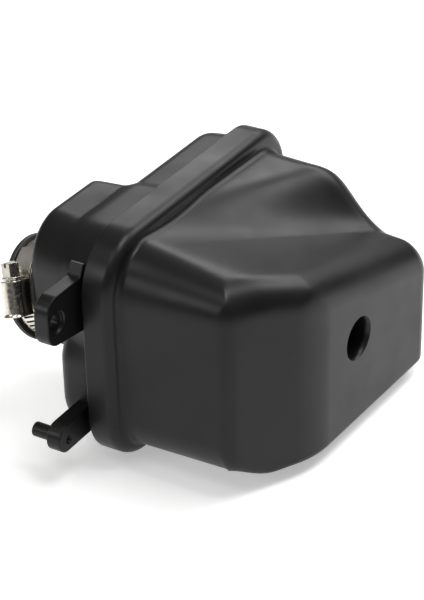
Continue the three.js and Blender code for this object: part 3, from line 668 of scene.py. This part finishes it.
def moulded_plastic(name, dark, light, smooth, rough):
    """Satin moulded plastic: a fine spark-eroded grain, faint flow marks and a few rubbed places."""
    look, tree, shader, place = new_look(name, light)
    shader.inputs["Specular IOR Level"].default_value = 0.26
    clouds = noise(tree, place, 26, 4)
    tree.links.new(shaded(tree, clouds, dark, light), shader.inputs["Base Color"])
    rubbed = noise(tree, place, 60, 6)
    tree.links.new(spread(tree, rubbed, smooth, rough), shader.inputs["Roughness"])
    raised(
        tree, shader,
        (noise(tree, place, 2300, 2), 0.16, 0.05),
        (noise(tree, place, 420, 3), 0.07, 0.1),
        (noise(tree, place, 45, 2), 0.05, 0.5),
    )
    return look


def bright_metal(name, dark, light, smooth, rough, stretch):
    """Rolled or plated metal with fine drawn lines and duller patches."""
    look, tree, shader, place = new_look(name, light, metallic=1.0)
    patches = noise(tree, place, 120, 5)
    tree.links.new(shaded(tree, patches, dark, light), shader.inputs["Base Color"])
    lines = noise(tree, place, 700, 4, stretch)
    tree.links.new(spread(tree, lines, smooth, rough), shader.inputs["Roughness"])
    raised(tree, shader, (lines, 0.02, 0.01), (noise(tree, place, 140, 2), 0.02, 0.04))
    return look


def black_rubber():
    """Moulded rubber with a dusty bloom and a pebbled skin."""
    look, tree, shader, place = new_look("black_rubber", (0.012, 0.012, 0.012), roughness=0.6)
    bloom = noise(tree, place, 70, 6)
    color = shaded(tree, bloom, (0.008, 0.008, 0.008), (0.022, 0.022, 0.021), 0.35, 0.75)
    tree.links.new(color, shader.inputs["Base Color"])
    tree.links.new(spread(tree, bloom, 0.42, 0.66), shader.inputs["Roughness"])
    raised(tree, shader, (noise(tree, place, 1500, 2), 0.2, 0.06), (noise(tree, place, 160, 3), 0.1, 0.2))
    return look


def polyurethane():
    """Soft cast polyurethane with tiny air pits."""
    look, tree, shader, place = new_look("polyurethane", (0.3, 0.06, 0.035), roughness=0.5)
    color = shaded(tree, noise(tree, place, 50, 5), (0.22, 0.035, 0.02), (0.36, 0.08, 0.045))
    tree.links.new(color, shader.inputs["Base Color"])
    pits = noise(tree, place, 900, 1)
    tree.links.new(spread(tree, pits, 0.62, 0.42), shader.inputs["Roughness"])
    raised(
        tree, shader,
        (spread(tree, pits, 0, 1, 0.3, 0.4), 0.3, 0.15),
        (noise(tree, place, 90, 3), 0.1, 0.4),
    )
    return look


def filter_paper():
    """Resin-treated paper: pale fibres, with small embossed dimples."""
    look, tree, shader, place = new_look("filter_paper", (0.6, 0.47, 0.27), roughness=0.85)
    fibres = noise(tree, place, 1600, 5, (1, 1, 0.25))
    tree.links.new(shaded(tree, fibres, (0.5, 0.37, 0.19), (0.72, 0.6, 0.38)), shader.inputs["Base Color"])
    shader.inputs["Sheen Weight"].default_value = 0.1
    dimples = tree.nodes.new("ShaderNodeTexVoronoi")
    dimples.inputs["Scale"].default_value = 330
    dimples.inputs["Randomness"].default_value = 0.15
    tree.links.new(place, dimples.inputs["Vector"])
    tree.links.new(spread(tree, fibres, 0.75, 0.95), shader.inputs["Roughness"])
    raised(tree, shader, (fibres, 0.35, 0.06), (dimples.outputs["Distance"], 0.35, 0.25))
    return look


def foam():
    """Open-cell foam: a web of struts round cells, with painted shade darkening each cell's pit."""
    look, tree, shader, place = new_look("foam", (0.05, 0.055, 0.06), roughness=0.9)
    cells = tree.nodes.new("ShaderNodeTexVoronoi")
    cells.feature = "DISTANCE_TO_EDGE"
    cells.inputs["Scale"].default_value = 950
    tree.links.new(place, cells.inputs["Vector"])
    edge = cells.outputs["Distance"]
    # Painted shade: the colour fades from the struts' grey to near black in each cell's middle, standing in
    # for shade in the pores.
    color = shaded(tree, edge, (0.075, 0.08, 0.088), (0.006, 0.006, 0.007), 0.05, 0.28)
    tree.links.new(color, shader.inputs["Base Color"])
    tree.links.new(spread(tree, noise(tree, place, 300, 3), 0.8, 1.0), shader.inputs["Roughness"])
    shader.inputs["Sheen Weight"].default_value = 0.15
    raised(
        tree, shader,
        (spread(tree, edge, 1, 0, 0.0, 0.3), 0.8, 0.5),
        (noise(tree, place, 80, 3), 0.3, 1.0),
    )
    return look


LOOKS = {
    "black_plastic": moulded_plastic(
        "black_plastic", (0.004, 0.0036, 0.0036), (0.008, 0.0074, 0.0074), 0.32, 0.42,
    ),
    "grey_plastic": moulded_plastic("grey_plastic", (0.03, 0.031, 0.034), (0.05, 0.052, 0.056), 0.42, 0.55),
    "black_rubber": black_rubber(),
    "stainless_steel": bright_metal(
        "stainless_steel", (0.58, 0.55, 0.47), (0.8, 0.77, 0.69), 0.14, 0.3, (1, 0.12, 1),
    ),
    "zinc_steel": bright_metal("zinc_steel", (0.56, 0.53, 0.45), (0.76, 0.74, 0.67), 0.2, 0.36, (0.12, 1, 1)),
    "brass": bright_metal("brass", (0.55, 0.38, 0.13), (0.78, 0.6, 0.28), 0.2, 0.36, (1, 0.15, 0.15)),
    "polyurethane": polyurethane(),
    "filter_paper": filter_paper(),
    "foam": foam(),
}

# ---------------------------------------------------------------- cover and what rides on it


def well_cutter():
    """The bolt well with its softened mouth, and the bolt's hole in its floor."""
    return turned([
        (0, 0),
        (BOLT_CLEARANCE, 0),
        (BOLT_CLEARANCE, WELL_FLOOR - 0.3),
        (BOLT_CLEARANCE + 0.3, WELL_FLOOR),
        *softened([
            (BOLT_CLEARANCE + 0.6, WELL_FLOOR),
            (WELL_RADIUS - 0.3, WELL_FLOOR),
            (WELL_RADIUS, COVER_END - WELL_LIP - 0.2),
            (WELL_RADIUS + 1.5, COVER_END + 1.2),
        ], 1.5, 8),
        (WELL_RADIUS + 1.5, COVER_END + 5),
        (0, COVER_END + 5),
    ], FINE)


def make_cover():
    body = made_object(cover_body())
    well_tube = bar(WELL_RADIUS + WELL_WALL, WELL_FLOOR - WELL_FLOOR_WALL, COVER_END - 1, edge=0.6)
    inlet = sideways(bar(INLET_RADIUS + INLET_WALL + GAP, -20, 20), INLET_X, COVER_RIGHT, INLET_Z)
    joined(body, well_tube)
    cut(body, well_cutter(), inlet)
    finished("cover_shell", body, "lid", "black_plastic", "cover")


def make_cover_seal():
    middle_x = (TONGUE_TO + 0.2 + SKIRT_DEPTH - WALL - 0.1) / 2
    radius_x, radius_r = 1.0, TONGUE_WALL / 2
    middle_inset = TONGUE_INSET + radius_r
    rings = []
    for turn in np.linspace(0, 2 * math.pi, 16, endpoint=False):
        ring = outline(skirt_corners(middle_inset), -radius_r * math.cos(turn), 16)
        rings.append(at_station(middle_x + radius_x * math.sin(turn), ring))
    finished("seal_cord", skinned(rings, looped=True), "lid", "black_rubber", "cover_seal", sharp=60)


def make_snorkel():
    outer = INLET_RADIUS + INLET_WALL
    profile = softened([
        (INLET_RADIUS, -INLET_DEPTH),
        (outer, -INLET_DEPTH),
        (outer, GAP),
        (INLET_FLANGE, GAP),
        (INLET_FLANGE, 1.6),
        (INLET_RADIUS, 1.6),
        (INLET_RADIUS, -INLET_DEPTH),
    ], 0.7)
    shape = sideways(turned(profile), INLET_X, COVER_RIGHT, INLET_Z)
    finished("intake_snorkel", shape, "lid", "black_rubber", "inlet_snorkel")


def woven_disc(radius, pitch, wire, at):
    """A round screen of crossing wires, each over and under the next, in a folded rim."""
    shapes = [turned(softened([
        (radius - 1.6, at - 0.45), (radius, at - 0.45), (radius, at + 0.45),
        (radius - 1.6, at + 0.45), (radius - 1.6, at - 0.45),
    ], 0.35))]
    count = int((radius - 1.2) / pitch)
    for k in range(-count, count + 1):
        half = math.sqrt((radius - 0.8) ** 2 - (k * pitch) ** 2)
        along = np.linspace(-half, half, max(int(half / pitch * 6), 6))
        wave = wire * 0.55 * np.cos(math.pi * along / pitch) * (-1) ** k
        level = np.full(len(along), k * pitch)
        shapes.append(swept(np.column_stack([at + wave, level, along]), wire / 2, 6))
        shapes.append(swept(np.column_stack([at - wave, along, level]), wire / 2, 6))
    return gathered(*shapes)


def make_inlet_screen():
    disc = woven_disc(INLET_RADIUS - GAP, pitch=1.5, wire=0.4, at=0.5)
    placed = sideways(disc, INLET_X, COVER_RIGHT - INLET_DEPTH + 1, INLET_Z)
    finished("intake_screen", placed, "lid", "stainless_steel", "inlet_screen", sharp=50)


def make_washer():
    shape = tube(WELL_RADIUS - 0.5, BOLT_RADIUS + GAP, WASHER_AT, WASHER_AT + WASHER, edge=0.25)
    finished("well_washer", shape, "lid", "zinc_steel", "bolt_washer")


def hexagon(flat, x0, x1, chamfer):
    """A hexagonal bar along X whose far corners are turned off to a cone."""
    angle = math.radians(30) + np.arange(6) * math.pi / 3
    corner = flat / math.sqrt(3)
    rings = [
        np.stack([np.full(6, x), corner * np.cos(angle), corner * np.sin(angle)], axis=1)
        for x in (x0, x1)
    ]
    cone = turned([
        (0, x0 - 1), (corner + 1, x0 - 1), (corner + 1, x1 - chamfer - 0.58),
        (flat / 2 - 0.1, x1), (0, x1),
    ])
    return kept_inside(made_object(skinned(rings)), cone)


def make_bolt():
    seat = WASHER_AT + WASHER + 0.1
    flange = turned(softened([
        (0, seat - 1), (BOLT_RADIUS, seat - 1), (BOLT_RADIUS, seat), (BOLT_FLANGE, seat),
        (BOLT_FLANGE, seat + 0.9), (BOLT_FLANGE - 1.5, seat + 1.7), (0, seat + 1.7),
    ], 0.3))
    head = hexagon(BOLT_FLAT, seat + 1, seat + BOLT_HEAD, 0.2)
    dish = turned(softened([
        (0, seat + BOLT_HEAD - 0.9), (BOLT_FLAT / 2 - 2, seat + BOLT_HEAD - 0.9),
        (BOLT_FLAT / 2 - 1.2, seat + BOLT_HEAD + 1), (0, seat + BOLT_HEAD + 1),
    ], 0.5))
    cut(joined(head, flange), dish)
    shank = gathered(
        threaded(BOLT_RADIUS, 0.45, BOLT_PITCH, BOLT_TIP, 14),
        bar(BOLT_RADIUS - 0.05, 13.4, seat - 0.5, edge=0.1),
    )
    finished("bolt_head", head, "bolt", "zinc_steel", "cover_bolt")
    finished("bolt_shank", shank, "bolt", "zinc_steel", sharp=50)


def make_captive_ring():
    floor = WELL_FLOOR - WELL_FLOOR_WALL
    shape = tube(BOLT_CLEARANCE + 2, BOLT_RADIUS + 0.1, floor - 2.4, floor - 0.3, edge=0.95)
    finished("retaining_ring", shape, "bolt", "black_rubber", "captive_ring")


# ---------------------------------------------------------------- filter element


def make_element_frame():
    outer, inner = ELEMENT_INSET, ELEMENT_INSET + ELEMENT_RIM
    x0, x1 = LEDGE + GAP, ELEMENT_TO
    profile = softened([
        (outer, x0), (outer, x0 + 3), (outer + 0.8, x0 + 3.7), (outer + 0.8, x0 + 4.5),
        (outer, x0 + 5.2), (outer, x1), (inner, x1), (inner, x0), (outer, x0),
    ], 0.9)
    rings = [at_station(x, outline(skirt_corners(0), inset, 16)) for inset, x in profile[:-1]]
    body = made_object(skinned(rings, looped=True))
    reach = ELEMENT_INSET + 2
    web = slab((
        (SKIRT["left"] + reach, -1.5, 0.4), (SKIRT["right"] - reach, -1.5, 0.4),
        (SKIRT["right"] - reach, 1.5, 0.4), (SKIRT["left"] + reach, 1.5, 0.4),
    ), x1 - 1.6, x1, 0.3)
    joined(body, web, bar(POST_RADIUS + 4.5, x1 - 1.6, x1, edge=0.4))
    cut(body, bar(POST_RADIUS + 1, x0, x1 + 1))
    finished("element_seal", body, "element", "polyurethane", "element_frame")


def make_paper():
    """One sheet folded to and fro, with round folds, in the outline of the frame."""
    inset = ELEMENT_INSET + ELEMENT_RIM + GAP
    y0, y1 = SKIRT["left"] + inset, SKIRT["right"] - inset
    low, high = PLEAT_FROM, ELEMENT_TO - 2
    count = int((y1 - y0) / PLEAT_PITCH)
    y = np.linspace(y0, y1, count * 16 + 1)
    phase = (y - y0) / (y1 - y0) * count
    zigzag = np.abs(np.mod(phase, 1) * 2 - 1)
    fold = 0.06
    zigzag = np.clip(zigzag, fold, 1 - fold)
    x = low + PAPER / 2 + (high - low - PAPER) * (zigzag - fold) / (1 - 2 * fold)
    slope = np.gradient(x, y)
    normal = np.column_stack([np.ones(len(y)), -slope]) / np.hypot(1, slope)[:, None]
    middle = np.column_stack([x, y])
    around = np.vstack([middle + normal * PAPER / 2, (middle - normal * PAPER / 2)[::-1]])
    rings = [np.column_stack([around, np.full(len(around), z)]) for z in (SKIRT["bottom"], SKIRT["top"])]
    body = made_object(skinned(rings))
    kept_inside(body, slab(skirt_corners(inset), low - 1, high + 1, 0.1, 16))
    cut(body, bar(POST_RADIUS + 1.4, low - 2, high + 2))
    finished("folded_paper", body, "element", "filter_paper", "pleated_paper", sharp=50)


def make_foam():
    body = made_object(cover_slab(FOAM_FIT, FOAM_FROM, FOAM_TO, 1.6))
    inset = TONGUE_INSET + TONGUE_WALL + FOAM_FIT
    kept_inside(body, slab(skirt_corners(inset), FOAM_FROM - 1, FOAM_TO + 1, 0.1, 16))
    cut(body, bar(BOLT_CLEARANCE + 2, FOAM_FROM - 1, FOAM_TO + 1, sides=64))
    piece = finished("foam_pad", body, "element", "foam", "prefilter_foam", sharp=60)


# ---------------------------------------------------------------- case and what is fixed to it


def make_case():
    body = made_object(case_skin(0, HUMP_REAR, GAP))
    boss = on_outlet(bar(BOSS_RADIUS, BOSS_FROM, BOSS_FROM + BOSS_REACH, edge=1.0))
    joined(body, boss)
    boss_face = made_object(on_outlet(bar(BOSS_RADIUS, 0, BOSS_FROM + BOSS_WALL)))
    kept_inside(boss_face, linked(bpy.data.objects.new("whole", body.data.copy())))
    joined(body, slab(skirt_corners(TONGUE_INSET), GAP, TONGUE_TO, 0.4, 16))
    cut(body, case_skin(-WALL, HUMP_REAR + WALL, 12))
    cut(body, slab(skirt_corners(TONGUE_INSET + TONGUE_WALL), LEDGE, TONGUE_TO + 1, 0.1, 16))
    joined(body, boss_face)
    cut(
        body,
        on_outlet(bar(JOINT_COLLAR + 2 * GAP, -BOSS_REACH, BOSS_FROM)),
        on_outlet(bar(JOINT_NECK + GAP, BOSS_FROM - 1, BOSS_FROM + BOSS_WALL + 1)),
        on_outlet(bar(BOSS_RADIUS - WALL, BOSS_FROM + BOSS_WALL, BOSS_FROM + BOSS_REACH + 4)),
    )
    rear = EAR_FRONT - EAR_THICK
    floor = CASE_REAR + 1
    pin = turned(softened([
        (0, rear - PIN_LENGTH), (PIN_RADIUS, rear - PIN_LENGTH), (PIN_RADIUS, rear + 1), (0, rear + 1),
    ], 0.7), FINE, *PIN_AT)
    joined(
        body,
        slab(UPPER_EAR, rear, EAR_FRONT, EAR_EDGE),
        slab(LOWER_EAR, rear, EAR_FRONT, EAR_EDGE),
        pin,
        bar(POST_RADIUS, floor, POST_TOP, edge=0.5),
        *[bar(4, floor, SUPPORT_AT - GAP, y, z, 48, 0.3) for y, z in SUPPORT_SCREWS],
    )
    recess = turned([
        (0, EAR_FRONT - EAR_RECESS_DEPTH),
        *softened([
            (EAR_HOLE_RADIUS, EAR_FRONT - EAR_RECESS_DEPTH),
            (EAR_RECESS - 0.2, EAR_FRONT - EAR_RECESS_DEPTH),
            (EAR_RECESS, EAR_FRONT - 0.4),
            (EAR_RECESS + 0.7, EAR_FRONT + 0.2),
        ], 0.4),
        (EAR_RECESS + 0.7, EAR_FRONT + 1),
        (0, EAR_FRONT + 1),
    ], FINE, *EAR_HOLE)
    dimple = turned([
        (0, EAR_FRONT - 1.2), (1.2, EAR_FRONT - 1.2), (1.6, EAR_FRONT - 0.3), (2, EAR_FRONT + 0.2),
        (2, EAR_FRONT + 1), (0, EAR_FRONT + 1),
    ], 48, *PIN_AT)
    cut(
        body,
        bar(EAR_HOLE_RADIUS, rear - 1, EAR_FRONT + 1, *EAR_HOLE),
        recess,
        dimple,
        bar(INSERT_RADIUS + 0.1, INSERT_FROM, POST_TOP + 1),
        bar(BOLT_RADIUS + 0.6, INSERT_FROM - 5, INSERT_FROM + 1),
        *[bar(1.5, floor + 2, SUPPORT_AT, y, z, 32) for y, z in SUPPORT_SCREWS],
    )
    finished("case_shell", body, "housing", "black_plastic", "case")


def make_insert():
    body = made_object(tube(INSERT_RADIUS, BOLT_RADIUS + 0.02, INSERT_FROM + 0.1, POST_TOP, edge=0.35))
    finished("brass_insert", body, "housing", "brass", "case_insert")


def make_support_screws():
    seat = SUPPORT_AT + GRID_THICK + 0.1
    for i, (y, z) in enumerate(SUPPORT_SCREWS):
        head = made_object(turned(softened([
            (0, seat - 0.5), (SCREW_RADIUS, seat - 0.5), (SCREW_RADIUS, seat), (3, seat), (2.9, seat + 0.7),
            (1.8, seat + 1.45), (0, seat + 1.5),
        ], 0.3), 64, y, z))
        for wide, tall in ((4, 0.7), (0.7, 4)):
            slot = block(seat + 0.8, seat + 2, y - wide / 2, y + wide / 2, z - tall / 2, z + tall / 2)
            cut(head, slot)
        thread = threaded(SCREW_RADIUS, 0.35, 1.1, CASE_REAR + 3.2, seat - 0.1)
        shank = moved(thread, lambda a, b, c: (a, b + y, c + z))
        finished(f"grid_screw_{i + 1}", head, "housing", "zinc_steel", f"support_screw_{i + 1}")
        finished(f"grid_screw_shank_{i + 1}", shank, "housing", "zinc_steel", sharp=50)


def make_joint():
    neck_from, neck_to = COLLAR_FROM + COLLAR_WIDTH, BOSS_FROM + BOSS_WALL + GAP
    profile = softened([
        (JOINT_BORE, 0),
        (JOINT_LIP, 0),
        (JOINT_LIP, LIP_WIDTH),
        (JOINT_SEAT, LIP_WIDTH),
        (JOINT_SEAT, COLLAR_FROM),
        (JOINT_COLLAR, COLLAR_FROM),
        (JOINT_COLLAR, neck_from),
        (JOINT_NECK, neck_from),
        (JOINT_NECK, neck_to),
        (JOINT_INNER, neck_to),
        (JOINT_INNER - 0.8, neck_to + 2),
        (JOINT_BORE + 1, neck_to + 2.6),
        (JOINT_BORE, neck_to + 1.6),
        (JOINT_BORE, 0),
    ], 0.8)
    finished("rubber_joint", on_outlet(turned(profile, 128)), "housing", "black_rubber", "outlet_joint")


def make_backfire_screen():
    disc = on_outlet(woven_disc(JOINT_BORE - 0.1, pitch=1.9, wire=0.55, at=BOSS_FROM - 0.5))
    finished("wire_screen", disc, "housing", "stainless_steel", "backfire_screen", sharp=50)


def band_slot(turn, radius):
    """A cutter for one slot of the band, with round ends and a slight slant, at an angle from -Y."""
    half = SLOT_WIDE / 2
    corners = ((-half, -0.5, 0.45), (half, -0.5, 0.45), (half, 0.5, 0.45), (-half, 0.5, 0.45))
    flat = slab(corners, -2, 2, 0.05, 4)
    slant = math.radians(8)

    def place(x, y, z):
        along = y * math.cos(slant) - z * math.sin(slant)
        round_way = y * math.sin(slant) + z * math.cos(slant)
        return BAND_MIDDLE + along, -radius - x, round_way

    c, s = math.cos(turn), math.sin(turn)
    return moved(moved(flat, place), lambda x, y, z: (x, y * c - z * s, y * s + z * c))


def band_layer(from_turn, to_turn, radius_at, width):
    """A strip of band bent round the outlet between two angles from -Y, with its edges rounded."""
    turns = np.linspace(from_turn, to_turn, max(int(abs(to_turn - from_turn) * 50), 8))
    full_round = to_turn - from_turn > 2 * math.pi - 1e-6
    turns = turns[:-1] if full_round else turns
    corners = [(BAND_MIDDLE - width / 2, 0), (BAND_MIDDLE + width / 2, 0),
               (BAND_MIDDLE + width / 2, BAND_THICK), (BAND_MIDDLE - width / 2, BAND_THICK)]
    section = softened([*corners, corners[0]], 0.22)[:-1]
    rings = []
    for turn in turns:
        r = radius_at(turn) + np.array([p[1] for p in section])
        x = np.array([p[0] for p in section])
        rings.append(np.stack([x, -r * math.cos(turn), -r * math.sin(turn)], axis=1))
    return skinned(rings, looped=full_round)


def make_band():
    """The band goes once round the joint. Its loose end leaves the bridge and lies on the first layer."""
    ring = made_object(band_layer(0, 2 * math.pi, lambda turn: BAND_INNER, BAND_WIDTH))
    under = [i * SLOT_PITCH / BAND_OUTER for i in range(-3, 9)]
    cut(ring, gathered(*[band_slot(turn, BAND_OUTER) for turn in under]))
    finished("band_strip", reshaped(ring, on_clamp), "housing", "stainless_steel", "clamp_band")
    lift = BAND_OUTER + 0.06
    end = -1.02
    tail = made_object(band_layer(
        end, -0.26, lambda turn: lift + 0.35 * (turn / end) ** 2, BAND_WIDTH - 0.4,
    ))
    slots = [band_slot(-0.3 - i * SLOT_PITCH / BAND_OUTER, BAND_OUTER + 0.4) for i in range(2)]
    cut(tail, gathered(*slots))
    finished("band_end", reshaped(tail, on_clamp), "housing", "stainless_steel")


def reshaped(piece, change):
    """An object with its mesh's points changed by a function of a shape."""
    points = np.zeros(len(piece.data.vertices) * 3)
    piece.data.vertices.foreach_get("co", points)
    shape = change((points.reshape(-1, 3), None))
    piece.data.vertices.foreach_set("co", shape[0].ravel())
    piece.data.update()
    return piece


def make_bridge():
    """The pressed bridge over the worm: a rounded hood with a foot on each side."""
    outer = WORM_RADIUS + GAP + BRIDGE_WALL
    floor = -BAND_OUTER - GAP
    half = BRIDGE_LENGTH / 2
    arc = np.linspace(0, math.pi, 21)
    hood = [
        (BAND_MIDDLE + outer * math.cos(a), -WORM_AT - 0.6 - outer * math.sin(a)) for a in arc
    ]
    foot = BRIDGE_FOOT / 2
    section = [
        (BAND_MIDDLE - foot, floor), (BAND_MIDDLE + foot, floor), (BAND_MIDDLE + foot, floor - 0.9),
        (BAND_MIDDLE + outer, floor - 1.3), *hood, (BAND_MIDDLE - outer, floor - 1.3),
        (BAND_MIDDLE - foot, floor - 0.9),
    ]
    rings = []
    for z, shrink in (
        (-half, 1.1), (-half + 0.25, 1.13), (-half + 0.6, 1.1), (-half + 1.1, 1.03), (-half + 1.8, 1),
        (half - 0.3, 1), (half, 0.95),
    ):
        rings.append([
            (BAND_MIDDLE + (x - BAND_MIDDLE) * shrink, floor + (y - floor) * (0.5 + shrink / 2), z)
            for x, y in section
        ])
    body = made_object(skinned(rings))
    bore = on_worm(bar(WORM_RADIUS + GAP, -half - 1, half - 1))
    neck = on_worm(bar(WORM_NECK + GAP, 0, half + 2))
    cut(body, bore, neck, bar(BAND_OUTER + 0.2, 0, 30))
    finished("worm_bridge", reshaped(body, on_clamp), "housing", "stainless_steel", "clamp_housing")


def make_worm_screw():
    half = BRIDGE_LENGTH / 2
    bottom, top, head_at = -half + 0.2, half - 1.3, half + 0.5
    head = hexagon(WORM_FLAT, head_at + 0.5, head_at + WORM_HEAD, 0.3)
    collar = turned(softened([
        (0, top - 0.3), (WORM_NECK, top - 0.3), (WORM_NECK, head_at), (WORM_FLAT / 2 + 0.9, head_at),
        (WORM_FLAT / 2 + 0.9, head_at + 0.9), (0, head_at + 0.9),
    ], 0.3))
    joined(head, collar)
    cut(head, block(head_at + WORM_HEAD - 1.8, head_at + WORM_HEAD + 1, -6, 6, -WORM_SLOT / 2, WORM_SLOT / 2))
    worm = threaded(WORM_RADIUS, 0.9, 2.6, bottom, top)

    head = reshaped(reshaped(head, on_worm), on_clamp)
    finished("worm_head", head, "screw", "zinc_steel", "clamp_screw")
    finished("worm_thread", on_clamp(on_worm(worm)), "screw", "zinc_steel", sharp=50)


def dress_grids():
    """The two grids keep their CAD shape, with softened edges."""
    for name in ("support_grid", "retainer_grid"):
        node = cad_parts[name]
        node.data.materials.clear()
        node.data.materials.append(LOOKS["grey_plastic"])
        soft = node.modifiers.new("soft_edges", "BEVEL")
        soft.width = 0.35 * MM
        soft.segments = 2
        soft.limit_method = "ANGLE"
        soft.angle_limit = math.radians(40)
        node.data.shade_smooth()
        node.data.set_sharp_from_angle(angle=math.radians(30))


make_cover()
make_cover_seal()
make_snorkel()
make_inlet_screen()
make_washer()
make_bolt()
make_captive_ring()
make_element_frame()
make_paper()
make_foam()
make_case()
make_insert()
make_support_screws()
make_joint()
make_backfire_screen()
make_band()
make_bridge()
make_worm_screw()
dress_grids()

# ---------------------------------------------------------------- camera, light and floor

AZIMUTH, ELEVATION, ROLL = math.radians(31.3), math.radians(30.4), math.radians(-1.36)
CAMERA_AT = Vector((380.39, -602.65, 412.57))  # from the rim plane and the bolt's axis, in mm
FLOOR_GAP = 0.0002


def make_camera():
    """A long lens that looks down on the cover from its front left."""
    camera = bpy.data.objects.new("camera", bpy.data.cameras.new("camera"))
    camera.data.lens = 120
    camera.data.sensor_width = 36
    camera.data.clip_end = 20
    right = Vector((math.cos(AZIMUTH), math.sin(AZIMUTH), 0))
    back = Vector((
        math.sin(AZIMUTH) * math.cos(ELEVATION),
        -math.cos(AZIMUTH) * math.cos(ELEVATION),
        math.sin(ELEVATION),
    ))
    up = back.cross(right)
    rolled_right = math.cos(ROLL) * right + math.sin(ROLL) * up
    rolled_up = math.cos(ROLL) * up - math.sin(ROLL) * right
    turn = Matrix((rolled_right, rolled_up, back)).transposed()
    place = Vector((RIM_X, AXIS_Y, AXIS_Z)) + CAMERA_AT * MM
    camera.matrix_world = Matrix.Translation(place) @ turn.to_4x4()
    bpy.context.scene.camera = linked(camera)


def make_light(name, place, target, size, power):
    """A soft box at a place, facing a target."""
    lamp = bpy.data.objects.new(name, bpy.data.lights.new(name, "AREA"))
    lamp.data.shape = "RECTANGLE"
    lamp.data.size, lamp.data.size_y = size
    lamp.data.energy = power
    lamp.location = place
    lamp.rotation_euler = (Vector(target) - Vector(place)).to_track_quat("-Z", "Y").to_euler()
    linked(lamp)


def make_floor():
    """A pale floor just under the object."""
    mesh = bpy.data.meshes.new("floor")
    half = 4.0
    corners = [(-half, -half, 0), (half, -half, 0), (half, half, 0), (-half, half, 0)]
    mesh.from_pydata(corners, [], [(0, 1, 2, 3)])
    floor = bpy.data.objects.new("floor", mesh)
    look, tree, shader, place = new_look("floor", (0.86, 0.86, 0.86), roughness=0.7)
    tone = shaded(tree, noise(tree, place, 3, 4), (0.84, 0.84, 0.84), (0.88, 0.88, 0.88))
    tree.links.new(tone, shader.inputs["Base Color"])
    shader.inputs["Emission Color"].default_value = (1, 1, 1, 1)
    shader.inputs["Emission Strength"].default_value = 0.4
    mesh.materials.append(look)
    floor.location.z = cad_bounds[0].z - FLOOR_GAP
    linked(floor)


def make_world():
    """A studio that is dark near the floor and brighter overhead."""
    world = bpy.data.worlds.new("studio")
    world.use_nodes = True
    backdrop = world.node_tree.nodes["Background"]
    height = world.node_tree.nodes.new("ShaderNodeSeparateXYZ")
    direction = world.node_tree.nodes.new("ShaderNodeTexCoord").outputs["Generated"]
    world.node_tree.links.new(direction, height.inputs["Vector"])
    tone = spread(world.node_tree, height.outputs["Z"], 0.05, 0.3, 0.1, 0.6)
    world.node_tree.links.new(tone, backdrop.inputs["Strength"])
    backdrop.inputs["Color"].default_value = (1, 0.98, 0.96, 1)
    bpy.context.scene.world = world


make_camera()
make_floor()
make_world()
make_light("overhead", (0.3, 0.1, 1.2), (0.1, 0, 0), (0.5, 0.5), 7)
make_light("back_panel", (-0.1, 0.95, 0.68), (0, 0, 0.05), (1.4, 0.32), 7)
make_light("right_box", (0.42, 0.68, 0.88), (0, 0, 0.05), (0.4, 0.3), 2.6)
make_light("front_top", (-0.15, -0.52, 1.0), (0, 0, 0.05), (0.8, 0.3), 1.7)
make_light("left_box", (-0.5, -0.8, 0.5), (0, 0, 0.05), (0.35, 0.25), 1.6)
bpy.context.scene.view_settings.view_transform = "Standard"
